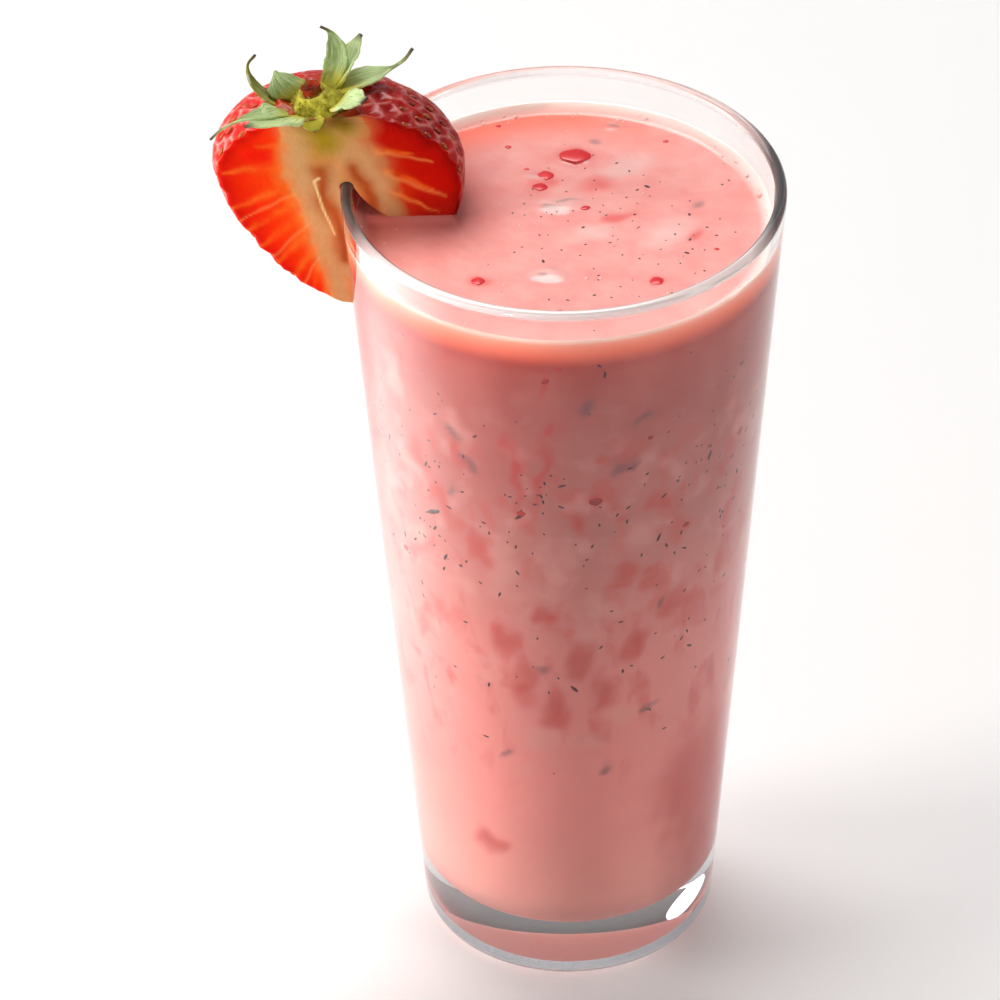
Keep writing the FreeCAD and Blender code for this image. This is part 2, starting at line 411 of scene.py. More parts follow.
def clearGlass():
    # clear glass that lets lamplight through to the drink behind it; its lip has a painted white highlight,
    # most at the front, and painted dark reflections, grey on its inner edge at the front and on its sides;
    # its foot is a little mauve
    material, tree, shader = newMaterial("clearGlass")
    x, y, z = placeParts(tree, objectPlace(tree), "XYZ")
    # the lip is painted: white as a painted highlight, strongest at the front, and dark grey as painted dark
    # reflections
    lip = between(tree, z, 0.1486, 0.1491)
    sides = between(tree, maths(tree, "ABSOLUTE", x), 0.030, 0.0345)
    inner = between(tree, axisDistance(tree, x, y), 0.0355, 0.0353)
    inner = product(tree, inner, between(tree, y, 0.014, 0.002))
    # where the lip shows painted dark reflections: its sides and its inner edge at the front
    grey = maths(tree, "MAXIMUM", sides, inner)
    tone = mixColour(tree, grey, (0.97, 0.97, 0.97, 1), (0.11, 0.11, 0.115, 1))
    body = mixColour(tree, between(tree, z, 0.008, 0.012), (0.86, 0.825, 0.88, 1), (0.975, 0.985, 0.98, 1))
    front = between(tree, y, -0.01, 0.03, 1.0, 0.45)
    paintedLipShading = maths(tree, "MAXIMUM", product(tree, lip, front), product(tree, lip, sides))
    passing = maths(tree, "SUBTRACT", 1.0, product(tree, paintedLipShading, glass["paintedLipShading"]))
    setInputs(shader, {"Base Color": mixColour(tree, lip, body, tone), "Roughness": 0.0, "IOR": 1.5,
                       "Transmission Weight": passing})
    path = addNode(tree, "ShaderNodeLightPath")
    clear = addNode(tree, "ShaderNodeBsdfTransparent", {0: (0.96, 0.97, 0.965, 1)})
    mix = addNode(tree, "ShaderNodeMixShader", {0: path.outputs["Is Shadow Ray"], 1: shader.outputs[0],
                                                2: clear.outputs[0]})
    setInputs(tree.nodes["Material Output"], {"Surface": mix.outputs[0]})
    return material


buildGlass(glass)
print("glass turned")


# ---- strawberry

berry = {
    "radius": 20.6,
    "depthShare": 0.92,
    "crown": 12.8,
    "taper": 27.6,
    "taperPower": 1.5,
    "taperRoot": 0.6,
    "slant": 0.13,
    "outset": 0.2,
    "widestAboveRim": 1.0,
    "faceSetback": 2.0,
    "axisBehindFace": 5.0,
    "edgeRound": 0.45,  # the cut edge curls back by this much
    "dimpleRadius": 5.2,
    "dimpleDepth": 1.9,
    "dimpleShift": 1.7,
    "rows": 220,
    "skinColumns": 200,
    "faceColumns": 170,
    "seeds": 420,
    "pitDepth": 0.5,
    "pitRadius": 0.95,
    "ridge": 0.16,
    "ridgeWidth": 0.55,
    "unevenness": 0.16,
    "curlWidth": 0.9,  # the cut face bends back to the skin within this
    "faceRipple": 0.05,
    "seedSize": (0.78, 0.5, 0.34),
}


def berryRadius(angle):
    # R cos a above the widest place; R (1 - (-sin a)^p)^q below it
    rise = np.sin(angle)
    low = (1 - np.clip(-rise, 0, 1) ** berry["taperPower"]) ** berry["taperRoot"]
    return berry["radius"] * np.where(rise >= 0, np.cos(angle), low)


def berryAxis(s):
    # the slanting axis at a height s over the widest place: x = -(rim + outset + slant s), z = rim height + s
    x = -(glass["rimRadius"] + berry["outset"] + berry["slant"] * s)
    y = np.full_like(s, berry["faceSetback"] + berry["axisBehindFace"])
    return np.stack([x, y, glass["height"] + berry["widestAboveRim"] + s], -1)


def berryMiddle(angle):
    # the axis at crown sin a above the widest place, and at taper sin a below it
    rise = np.sin(angle)
    return berryAxis(np.where(rise >= 0, berry["crown"] * rise, berry["taper"] * rise))


def berryPoint(angle, turn):
    # middle(a) + (R(a) cos t, k R(a) sin t, 0)
    r = berryRadius(angle)
    offset = np.stack([r * np.cos(turn), berry["depthShare"] * r * np.sin(turn), 0 * r], -1)
    return berryMiddle(angle) + offset


def seedPlaces():
    # golden-angle spiral over the skin, evenly spread by area
    a = np.linspace(-np.pi / 2, np.pi / 2, 800)
    ring = berryPoint(a, np.zeros_like(a))
    step = np.r_[0, np.linalg.norm(np.diff(ring, axis=0), axis=1)]
    area = np.cumsum(step * np.maximum(berryRadius(a), 0.8))
    k = np.arange(berry["seeds"])
    angle = np.interp((k + 0.5) / berry["seeds"] * area[-1], area, a)
    turn = k * np.pi * (3 - np.sqrt(5)) + seeded.normal(0, 0.03, berry["seeds"])
    return angle, turn


def nearestTwo(points, spots):
    # distance from each point to its nearest and second nearest spot
    first = np.full(len(points), 1e9)
    second = first.copy()
    for part in np.array_split(np.arange(len(points)), max(1, len(points) // 4000)):
        d = np.linalg.norm(points[part][:, None] - spots[None], axis=2)
        d.partition(1, axis=1)
        first[part], second[part] = d[:, 0], d[:, 1]
    return first, second


def gridNormals(grid):
    # cross product of the two tangent directions of a grid of points
    across = np.gradient(grid, axis=1)
    along = np.gradient(grid, axis=0)
    return unit(np.cross(across, along))


def softNoise(points, size, waves, seed):
    # a sum of sine waves in random directions, about -1 to 1
    source = np.random.default_rng(seed)
    direction = unit(source.normal(size=(waves, 3)))
    direction = direction * 2 * np.pi / (size * source.uniform(0.7, 1.5, (waves, 1)))
    phase = source.uniform(0, 2 * np.pi, waves)
    return np.sin(points @ direction.T + phase).sum(-1) / np.sqrt(waves)


def skinGrid():
    # rows climb from tip to crown; each row runs round the back from one end of the cut face to the other
    a = np.linspace(-np.pi / 2, np.pi / 2, berry["rows"] + 2)[1:-1][:, None]
    depth = berry["depthShare"] * berryRadius(a)
    behind = berry["axisBehindFace"] - berry["edgeRound"]
    start = -np.minimum(np.arcsin(np.clip(behind / depth, 0, 1)), np.pi / 2 - 0.12)
    turn = start + (np.pi - 2 * start) * np.linspace(0, 1, berry["skinColumns"])
    angle = a + 0 * turn
    grid = berryPoint(angle, turn)
    normal = gridNormals(grid)
    seeds = seedPlaces()
    near, second = nearestTwo(grid.reshape(-1, 3), berryPoint(*seeds))
    near, second = near.reshape(turn.shape), second.reshape(turn.shape)
    net = np.exp(-((second - near) / berry["ridgeWidth"]) ** 2)
    pit = np.exp(-(near / berry["pitRadius"]) ** 2)
    fade = np.clip((berryRadius(a) - 1.5) / 3, 0, 1)
    lift = (berry["ridge"] * net - berry["pitDepth"] * pit) * fade
    lift = lift + berry["unevenness"] * softNoise(grid, 9.0, 10, 3) * fade
    moved = grid + normal * lift[..., None]
    moved[..., 1] = np.where(turn < 0.02, np.maximum(moved[..., 1], grid[..., 1]), moved[..., 1])
    moved[:, [0, -1], 1] = grid[:, [0, -1], 1]
    return moved, net, pit, seeds


def faceGrid(left, right):
    # straight across between the skin's edges: y = face + (edge - face) (1 - e / w)^2 at e from an edge,
    # and never in front of the whole berry: y >= middle - k R sqrt(1 - ((x - middle) / R)^2)
    share = np.linspace(0, 1, berry["faceColumns"] + 2)[1:-1]
    share = share - np.sin(2 * np.pi * share) * 0.045
    grid = left[:, None] + (right - left)[:, None] * share[None, :, None]
    width = np.linalg.norm(right - left, axis=1)[:, None]
    fromEdge = np.minimum(share, 1 - share) * width
    curl = np.clip(1 - fromEdge / berry["curlWidth"], 0, 1) ** 2
    a = np.linspace(-np.pi / 2, np.pi / 2, berry["rows"] + 2)[1:-1]
    middle, radius = berryMiddle(a)[:, None], berryRadius(a)[:, None]
    aside = np.clip((grid[..., 0] - middle[..., 0]) / radius, -1, 1)
    whole = middle[..., 1] - berry["depthShare"] * radius * np.sqrt(1 - aside ** 2)
    flat = berry["faceSetback"]
    cut = flat + (grid[..., 1] - flat) * curl + berry["faceRipple"] * softNoise(grid, 3.0, 8, 9) * (1 - curl)
    grid[..., 1] = np.maximum(cut, whole)
    return grid


# marks on the cut face: start, end (x, z in mm) and half width
flesh = {
    "core": [
        ((-42.5, 161.0), (-36.0, 160.5), 4.0), ((-43.6, 158.5), (-42.6, 152.0), 2.7),
        ((-42.6, 152.0), (-40.8, 145.0), 2.5), ((-40.8, 145.0), (-38.9, 136.0), 2.2),
        ((-38.9, 136.0), (-36.6, 126.0), 1.9), ((-39.0, 152.0), (-37.2, 143.0), 2.6),
        ((-37.2, 143.0), (-36.4, 132.0), 1.7), ((-36.8, 157.5), (-33.2, 153.8), 3.6),
        ((-33.2, 153.8), (-30.2, 148.8), 2.6), ((-30.2, 148.8), (-27.9, 142.0), 1.9),
    ],
    # hollows: painted brown as the shade inside them
    "hollow": [
        ((-40.0, 152.4), (-39.4, 146.6), 1.9), ((-39.4, 146.6), (-36.9, 140.8), 2.1),
        ((-36.9, 140.8), (-36.4, 134.6), 1.7), ((-34.6, 152.8), (-32.6, 149.6), 1.3),
        ((-32.6, 149.6), (-31.2, 144.6), 1.4),
    ],
    "rays": [
        ((-45.6, 153.4), (-56.0, 152.3), 1.3), ((-45.0, 149.6), (-54.8, 144.9), 1.2),
        ((-44.3, 146.2), (-53.2, 140.2), 1.1), ((-43.4, 143.6), (-51.0, 136.8), 1.0),
        ((-42.4, 140.6), (-48.4, 132.8), 1.0), ((-41.4, 137.2), (-45.8, 129.8), 0.9),
        ((-40.4, 133.4), (-42.8, 127.4), 0.8), ((-39.2, 130.0), (-40.4, 125.0), 0.7),
        ((-46.2, 156.8), (-50.5, 157.6), 0.9), ((-30.9, 156.2), (-24.6, 155.4), 0.8),
        ((-29.4, 152.2), (-21.5, 148.6), 0.7), ((-28.2, 148.0), (-22.0, 144.4), 0.7),
    ],
    "threads": [
        ((-44.6, 147.8), (-53.6, 142.6), 0.34), ((-42.8, 141.6), (-49.0, 134.2), 0.36),
        ((-40.9, 135.0), (-44.0, 128.6), 0.32), ((-30.6, 155.8), (-21.6, 153.9), 0.42),
        ((-29.6, 151.6), (-19.6, 147.2), 0.46), ((-28.8, 148.2), (-20.8, 143.8), 0.44),
    ],
    "cream": [
        ((-40.3, 150.9), (-41.1, 150.3), 0.24), ((-41.1, 150.3), (-39.8, 145.0), 0.2),
        ((-39.8, 145.0), (-37.9, 139.6), 0.17),
    ],
    # painted shadow under the calyx, olive
    "oliveShade": [((-40.4, 162.2), (-38.8, 158.2), 3.4), ((-37.4, 162.4), (-35.6, 161.4), 2.6)],
    "blood": [((-51.4, 155.8), (-49.4, 155.4), 1.5)],
}
fleshNarrowing = {"core": 0.0, "hollow": 0.3, "rays": 0.75, "threads": 0.45, "oliveShade": 0.0, "blood": 0.0}


def alongSegment(points, a, b):
    # share of the way from a to b of each point's nearest place on the segment, and its distance from there
    a, b = np.array(a, float), np.array(b, float)
    t = np.clip(((points - a) @ (b - a)) / ((b - a) @ (b - a)), 0, 1)
    return t, np.linalg.norm(points - a - t[..., None] * (b - a), axis=-1)


def segmentField(points, marks, narrowing=0.0):
    # the largest of exp(-(distance to a segment / its half width)^2), the width narrowing towards its end
    field = np.zeros(points.shape[:-1])
    for a, b, width in marks:
        t, away = alongSegment(points, a, b)
        field = np.maximum(field, np.exp(-(away / (width * (1.0 - narrowing * t))) ** 2))
    return field


def segmentAway(points, marks):
    # distance outside the nearest segment's half width
    away = [alongSegment(points, a, b)[1] - width for a, b, width in marks]
    return np.maximum(np.min(away, axis=0), 0)


slit = {
    "clearance": 0.2,
    "opening": 8.5,  # how far it spreads on the drink's side
    "depth": 9.0,  # below the rim, where it is fully spread
    "length": 45.0,
    "bulge": (0.32, 0.66),  # shares of opening and depth that bend the spread
    "columns": 240,
}


def buildSlitCutter():
    # the band of the rim plus the spread of the slit on its inner side, turned about Z;
    # the spread is the curve (1 - t)^2 start + 2 t (1 - t) bulge + t^2 end
    height, clearance, opening = glass["height"], slit["clearance"], slit["opening"]
    low, bead = height - slit["length"], height - glass["rimWall"] / 2
    inner = glass["rimRadius"] - glass["rimWall"] - clearance
    spreadZ = height - slit["depth"]
    end = np.array((walls.inner(spreadZ) - opening, spreadZ))
    bulge = np.array((inner - opening * slit["bulge"][0], height - slit["depth"] * slit["bulge"][1]))
    t = np.linspace(0, 1, 14)[:, None]
    curve = (1 - t) ** 2 * np.array((inner, bead)) + 2 * t * (1 - t) * bulge + t ** 2 * end
    middle = (glass["rimRadius"] + clearance + inner) / 2
    half = (glass["rimRadius"] + clearance - inner) / 2
    over = arcPoints((0, 0), 1.0, 0, 180, 9) * (half, height + clearance - bead) + (middle, bead)
    profile = np.vstack([[(walls.outer(low) + clearance, low)], over[:-1], curve,
                         [(walls.inner(low) - opening, low)]])
    grid = lathe(profile, slit["columns"])
    return meshPiece("slitCutter", grid.reshape(-1, 3), gridFaces(*grid.shape[:2], wrapRows=True))


def bakeModifiers(piece):
    # the mesh as its modifiers leave it, in place of the one they started from
    bpy.context.view_layer.update()
    shape = piece.evaluated_get(bpy.context.evaluated_depsgraph_get())
    piece.data = bpy.data.meshes.new_from_object(shape)
    piece.modifiers.clear()


def buildBerry():
    skin, net, pit, seeds = skinGrid()
    face = faceGrid(skin[:, 0], skin[:, -1])[:, ::-1]
    grid = np.concatenate([skin, face], axis=1)
    rows, columns = grid.shape[:2]
    seat = berryMiddle(np.array([np.pi / 2 * 0.7]))[0] - (berry["dimpleShift"], 0, 0)
    away = np.linalg.norm(grid[..., :2] - seat[:2], axis=-1)
    upper = np.clip((grid[..., 2] - glass["height"] - 7) / 4, 0, 1)
    grid[..., 2] -= upper * berry["dimpleDepth"] * np.exp(-(away / berry["dimpleRadius"]) ** 4)
    low, high = berryMiddle(np.array([-np.pi / 2, np.pi / 2]))
    high[2] = grid[-1, :, 2].mean()
    piece = closedPiece("berryFlesh", grid, low, high)
    face = face[:, :, [0, 2]]
    wobble = 0.22 * np.stack([softNoise(grid, 4.0, 10, 41), softNoise(grid, 4.0, 10, 42)], -1)
    marks = face + wobble[:, berry["skinColumns"]:]
    outline = np.concatenate([skin[:, 0], skin[:, -1]])[:, [0, 2]]
    toSkin = nearestTwo(face.reshape(-1, 2), outline)[0].reshape(face.shape[:2])
    toCore = segmentAway(marks, flesh["core"])
    cutFields = {name: segmentField(marks, flesh[name], by) for name, by in fleshNarrowing.items()}
    cutFields["cream"] = segmentField(face, flesh["cream"], 0.2)
    cutFields["outward"] = toCore / (toCore + toSkin + 0.01)
    noSkin, noFace = np.zeros(face.shape[:2]), np.zeros(skin.shape[:2])
    fields = {name: np.hstack([noFace, values]) for name, values in cutFields.items()}
    fields["net"], fields["pit"] = np.hstack([net, noSkin]), np.hstack([pit, noSkin])
    # painted shadow of the calyx on the skin round its hollow
    calyxShadow = np.exp(-(np.linalg.norm(skin - seat, axis=-1) / 6.5) ** 4)
    fields["oliveShade"][:, : berry["skinColumns"]] = calyxShadow
    for name, values in fields.items():
        setFloat(piece, name, np.append(values.ravel(), (0, 0)))
    # face columns and the closing columns beside them take the cut flesh finish
    j = np.arange(columns)
    cut = np.zeros(len(piece.data.polygons), int)
    cut[: (rows - 1) * columns] = np.tile(j >= berry["skinColumns"] - 1, rows - 1)
    cutter, inside = buildSlitCutter(), berryFlesh()
    piece.data.materials.append(berrySkin())
    piece.data.materials.append(inside)
    piece.data.polygons.foreach_set("material_index", cut)
    cutter.data.materials.append(inside)
    notch = piece.modifiers.new("slit", "BOOLEAN")
    notch.operation, notch.solver, notch.object = "DIFFERENCE", "EXACT", cutter
    notch.material_mode = "TRANSFER"
    bakeModifiers(piece)
    bpy.data.objects.remove(cutter)
    attach(piece, "strawberry", "strawberry")
    return piece, seeds


def berrySkin():
    # wet red skin with darker pits, painted brighter red on the left and darker on the right as light and
    # shade, with a broken net of painted highlight on the ridges, stronger higher up and on the left, and a
    # painted streaky sheen near the top
    material, tree, shader = newMaterial("berrySkin")
    coords = objectPlace(tree)
    x, z = placeParts(tree, coords, "XZ")
    patches = noise(tree, coords, 130.0, 3.0)
    # painted light and shade: bright red on the left, dark red on the right
    deep = mixColour(tree, between(tree, x, -0.050, -0.040), rgb(238, 30, 12), rgb(146, 7, 5))
    deep = mixColour(tree, between(tree, patches, 0.4, 0.75), deep, rgb(184, 14, 10))
    broken = between(tree, noise(tree, coords, 480.0, 3.0), 0.38, 0.6)
    # painted highlight on the net of ridges, broken up, and only higher up the berry
    ridgeHighlight = product(tree, attribute(tree, "net"), broken)
    pale = product(tree, ridgeHighlight, between(tree, z, 0.132, 0.15))
    streaks = noise(tree, stretched(tree, coords, 3.4), 520.0, 4.0, 0.6)
    sheen = product(tree, between(tree, streaks, 0.56, 0.74), between(tree, z, 0.152, 0.162))
    pale = maths(tree, "MAXIMUM", pale, product(tree, sheen, 0.45))
    # the painted ridge highlight is stronger on the left, towards the light
    strength = ramp(tree, between(tree, x, -0.056, -0.04), [(0.0, 0.9), (1.0, 0.4)])
    colour = mixColour(tree, product(tree, pale, strength), deep, rgb(244, 172, 162))
    # painted olive shadow under the calyx
    colour = tint(tree, colour, attribute(tree, "oliveShade"), 0.85, rgb(150, 84, 16))
    setInputs(shader, {"Base Color": colour, "Specular IOR Level": 0.25,
                       "Coat Weight": 0.06, "Coat Roughness": 0.1,
                       "Roughness": ramp(tree, noise(tree, coords, 900.0, 2.0), [(0.3, 0.22), (0.7, 0.42)]),
                       "Subsurface Weight": 0.2, "Subsurface Scale": 0.0012,
                       "Subsurface Radius": (1.0, 0.12, 0.05),
                       "Normal": bump(tree, noise(tree, coords, 1500.0, 3.0), 0.0001, 0.6)})
    return material


def berryFlesh():
    # cut flesh: orange near the core and red by the skin, lighter on the left lobe and darker on the right as
    # painted light and shade, a tan forked core round hollows painted brown as their shade, pale rays
    # outwards, an olive painted shadow under the calyx, and a painted contact shadow just above the drink
    material, tree, shader = newMaterial("berryFlesh")
    coords = objectPlace(tree)
    x, z = placeParts(tree, coords, "XZ")
    grain = noise(tree, coords, 300.0, 4.0)
    outward = uneven(tree, attribute(tree, "outward"), noise(tree, coords, 210.0, 3.0), 0.3)
    # painted light and shade: the left lobe's ramp is bright as if lit, the right lobe's a darker shaded copy
    left = ramp(tree, outward, [(0.0, rgb(236, 150, 84)), (0.08, rgb(250, 108, 34)), (0.3, rgb(255, 62, 4)),
                                (0.65, rgb(248, 42, 2)), (0.88, rgb(230, 26, 2)), (1.0, rgb(206, 12, 2))])
    right = ramp(tree, outward, [(0.0, rgb(196, 100, 48)), (0.1, rgb(204, 44, 10)), (0.35, rgb(198, 18, 3)),
                                 (0.8, rgb(186, 12, 2)), (1.0, rgb(150, 6, 2))])
    colour = mixColour(tree, between(tree, x, -0.037, -0.031), left, right)
    rays = product(tree, attribute(tree, "rays"), between(tree, grain, 0.25, 0.6))
    colour = tint(tree, colour, rays, 0.6, rgb(255, 122, 36))
    colour = tint(tree, colour, attribute(tree, "threads"), 0.42, rgb(255, 158, 84))
    colour = tint(tree, colour, attribute(tree, "blood"), 0.8, rgb(250, 14, 4))
    core = between(tree, uneven(tree, attribute(tree, "core"), grain, 0.3), 0.06, 0.92)
    colour = tint(tree, colour, core, 0.9, rgb(214, 162, 108))
    # painted shade in the hollows, brown, on the flat face
    colour = tint(tree, colour, attribute(tree, "hollow"), 0.9, rgb(176, 70, 18))
    # painted shadow under the calyx: olive, darker next to the hub
    oliveShade = mixColour(tree, between(tree, z, 0.1592, 0.1622), rgb(164, 136, 12), rgb(106, 76, 4))
    colour = tint(tree, colour, attribute(tree, "oliveShade"), 0.95, oliveShade)
    colour = tint(tree, colour, attribute(tree, "cream"), 0.9, rgb(255, 226, 160))
    # painted contact shadow on the right lobe just above the drink
    contactShade = product(tree, between(tree, z, 0.149, 0.1428), between(tree, x, -0.0345, -0.032))
    colour = tint(tree, colour, contactShade, 0.55, rgb(112, 24, 14))
    raised = product(tree, attribute(tree, "threads"), -0.7)
    relief = maths(tree, "ADD", noise(tree, coords, 1000.0, 3.0), raised)
    setInputs(shader, {"Base Color": colour, "Roughness": 0.5, "Specular IOR Level": 0.04,
                       "Subsurface Weight": 0.2, "Subsurface Scale": 0.0012,
                       "Subsurface Radius": (1.0, 0.2, 0.06),
                       "Normal": bump(tree, relief, 0.00018, 0.7)})
    return material


def buildSeeds(spots):
    # small ellipsoids lying in the pits, long side down the berry
    angle, turn = spots
    centre = berryPoint(angle, turn)
    step = 1e-3
    down = unit(berryPoint(angle - step, turn) - centre)
    along = unit(berryPoint(angle, turn + step) - centre)
    out = unit(np.cross(along, -down))
    keep = (centre[:, 1] > berry["faceSetback"] + 0.8) & (centre[:, 2] < glass["height"] + 11.5)
    r = np.hypot(centre[:, 0], centre[:, 1]) - glass["rimRadius"]
    keep &= ~((centre[:, 2] < glass["height"] + 0.6) & (r < 0.6) & (r > -13))  # none stands in the slit
    centre = centre - out * (berry["pitDepth"] * 0.62)
    axes = np.stack([down, along, out], 1)[keep]
    size = np.array(berry["seedSize"]) * seeded.uniform(0.85, 1.15, (keep.sum(), 1))
    template, faces = lyingBall(6, 8)
    piece = scatter("berrySeeds", template, faces, centre[keep], axes, size)
    material, tree, shader = newMaterial("berrySeed")
    coords = objectPlace(tree)
    x, = placeParts(tree, coords, "X")
    # painted light and shade: brighter red on the left, darker on the right
    tone = mixColour(tree, between(tree, x, -0.05, -0.03), rgb(206, 52, 22), rgb(120, 20, 14))
    tone = mixColour(tree, between(tree, noise(tree, coords, 700.0), 0.35, 0.65), tone, rgb(176, 84, 30))
    setInputs(shader, {"Base Color": tone, "Roughness": 0.28})
    piece.data.materials.append(material)
    attach(piece, "strawberry")


berryPiece, seedGrid = buildBerry()
buildSeeds(seedGrid)
print("strawberry grown:", len(berryPiece.data.polygons), "faces")


# ---- calyx and stem

calyx = {
    "hubRadius": 4.8,
    "hubHeight": 4.1,
    "hubSink": 0.7,
    "lean": 16.0,
    "dimpleFloor": 10.75,  # height of the hollow's floor over the widest place
    "root": (3.9, 1.5),
    "thickness": 0.42,
    "alongSteps": 40,
    "acrossSteps": 15,
    "craterRadius": 2.4,
    "craterDepth": 0.9,
    "stemRadius": 1.7,
    "stemHeight": 1.9,
    "hairs": 1500,
    # azimuth, length, width, rise at the root, turn, extra turn near the tip,
    # trough across, paleness, share of the length that is blade, width left at the tip, sideways bow (mm)
    "leaves": {
        "longLeft": (206, 16.4, 3.8, 38, -22, -40, 0.10, 0.6, 0.7, 0.05, 0.9),
        "broadLeft": (219, 11.0, 9.8, 44, -44, 16, 0.10, 0.75, 0.96, 0.08, 1.3),
        "uprightLeft": (171, 14.6, 2.9, 14, 82, 44, 0.2, -0.5, 0.85, 0.1, 0.0),
        "rearLeft": (128, 8.6, 6.0, 86, -40, -120, -0.2, 0.2, 0.76, 0.05, 2.0),
        "rearTall": (62, 11.8, 4.6, 34, 26, 60, 0.24, 0.3, 0.9, 0.06, -1.5),
        "rearRight": (50, 10.8, 4.8, 33, -10, -14, 0.24, 0.9, 1.0, 0.14, -0.6),
        "longRight": (28, 15.4, 6.0, 2, -48, 80, 0.12, 0.95, 0.72, 0.05, 0.6),
        "frontRight": (325, 7.4, 5.8, 30, -36, 20, 0.10, 1.0, 1.0, 0.3, 0.4),
        "frontStub": (264, 3.0, 3.8, 6, -70, 0, 0.05, -1.0, 1.0, 0.12, 0.0),
    },
}


def onBerry(points):
    # from the calyx's own frame to the hollow of the berry: leaned about Y, then moved to the hollow's floor
    seat = berryAxis(np.array(calyx["dimpleFloor"] - calyx["hubSink"])) - (berry["dimpleShift"], 0, 0)
    lean = math.radians(calyx["lean"])
    turn = np.array([[math.cos(lean), 0, -math.sin(lean)], [0, 1, 0], [math.sin(lean), 0, math.cos(lean)]])
    return points @ turn.T + seat


def smoothThrough(points, share):
    # Catmull-Rom curve through evenly spaced points, at shares 0 to 1
    padded = np.vstack([2 * points[0] - points[1], points, 2 * points[-1] - points[-2]])
    at = np.clip(share, 0, 1 - 1e-9) * (len(points) - 1)
    i = at.astype(int)
    t = (at - i)[:, None]
    a, b, c, d = padded[i], padded[i + 1], padded[i + 2], padded[i + 3]
    square, cube = 2 * a - 5 * b + 4 * c - d, 3 * b - a - 3 * c + d
    return 0.5 * (2 * b + (c - a) * t + square * t ** 2 + cube * t ** 3)


def leafGrid(azimuth, length, width, rise, turn, tipTurn, trough, blade, tipWidth, bow):
    # centre line: steps at the angle rise + turn s + tipTurn s^3; half width, but never under the thin tail,
    # w sin(pi (0.22 + 0.78 s / blade)^1.15) / 2; across it v from -1 to 1 lifts by trough w |v|^1.6
    k = np.arange(1, 8) / 7
    angle = np.radians(rise + turn * k + tipTurn * k ** 3)
    step = length / 7 * np.column_stack([np.cos(angle), np.sin(angle)])
    line = np.vstack([calyx["root"], calyx["root"] + np.cumsum(step, axis=0)])
    share = np.linspace(0, 1, calyx["alongSteps"])
    centre = smoothThrough(line, share)
    along = unit(np.gradient(centre, axis=0))
    normal = np.column_stack([-along[:, 1], along[:, 0]])
    swell = np.sin(np.pi * np.minimum(1, 0.22 + 0.78 * share / blade) ** 1.15)
    half = width / 2 * np.maximum(tipWidth + 0.14 * (1 - share), swell)
    half = half * (1 + 0.05 * np.sin(share * 23 + azimuth) + 0.03 * np.sin(share * 51 + length))
    v = np.linspace(-1, 1, calyx["acrossSteps"])[None]
    lift = trough * width * (np.abs(v) ** 1.6 - 0.3) * np.sin(np.pi * np.clip(share * 1.2, 0, 1))[:, None]
    lift = lift + 0.06 * np.sin(v * 17) * (half / 3)[:, None]
    lift = lift + 0.16 * np.sin(share * 13 + azimuth)[:, None] * v * np.abs(v) * (half / 2.5)[:, None]
    out = centre[:, :1] + normal[:, :1] * lift
    up = centre[:, 1:] + normal[:, 1:] * lift
    side = half[:, None] * v + (bow * np.sin(np.pi * share))[:, None]
    a = math.radians(azimuth)
    grid = np.stack([out * math.cos(a) - side * math.sin(a), out * math.sin(a) + side * math.cos(a), up], -1)
    return grid, np.broadcast_to(share[:, None], side.shape), np.broadcast_to(v, side.shape)


def buildLeaves():
    parts = [(leafGrid(*leaf[:7], *leaf[8:]), leaf[7]) for leaf in calyx["leaves"].values()]
    rows, columns = calyx["alongSteps"], calyx["acrossSteps"]
    faces = gridFaces(rows, columns, wrapColumns=False)[:, ::-1]
    shift = np.arange(len(parts))[:, None, None] * rows * columns
    points = onBerry(np.concatenate([grid.reshape(-1, 3) for (grid, _, _), _ in parts]))
    piece = meshPiece("calyxLeaves", points, (faces[None] + shift).reshape(-1, 4))
    setFloat(piece, "along", np.concatenate([share.ravel() for (_, share, _), _ in parts]))
    setFloat(piece, "across", np.concatenate([v.ravel() for (_, _, v), _ in parts]))
    setFloat(piece, "pale", np.repeat([pale for _, pale in parts], rows * columns))
    skin = piece.modifiers.new("thickness", "SOLIDIFY")
    skin.thickness, skin.offset = calyx["thickness"] * mm, 0.0
    piece.data.materials.append(leafGreen())
    attach(piece, "calyx", "calyx")


def leafGreen():
    # grey-green with paler lengthwise veins, browner towards a thin tip and yellower at the root
    material, tree, shader = newMaterial("leafGreen")
    along, across, pale = attribute(tree, "along"), attribute(tree, "across"), attribute(tree, "pale")
    stretch = addNode(tree, "ShaderNodeCombineXYZ", {0: product(tree, along, 1.6),
                                                    1: product(tree, across, 6.5),
                                                    2: product(tree, pale, 7.0)}).outputs[0]
    veins = noise(tree, stretch, 2.6, 3.0, 0.6)
    colour = mixColour(tree, between(tree, pale, -0.2, 1.0), rgb(112, 138, 56), rgb(198, 220, 150))
    colour = mixColour(tree, between(tree, pale, -0.1, -0.5), colour, rgb(148, 146, 42))
    colour = tint(tree, colour, between(tree, veins, 0.5, 0.62), 0.75, rgb(206, 216, 180))
    colour = tint(tree, colour, between(tree, veins, 0.46, 0.34), 0.6, rgb(78, 94, 36))
    young = maths(tree, "MAXIMUM", between(tree, along, 0.36, 0.1), between(tree, pale, -0.7, -0.9))
    colour = mixColour(tree, young, colour, rgb(190, 180, 48))
    colour = mixColour(tree, between(tree, along, 0.82, 1.0), colour, rgb(88, 74, 52))
    setInputs(shader, {"Base Color": colour, "Roughness": 0.6, "Specular IOR Level": 0.35,
                       "Subsurface Weight": 0.15, "Subsurface Scale": 0.0008,
                       "Normal": bump(tree, veins, 0.00035, 0.8)})
    return material


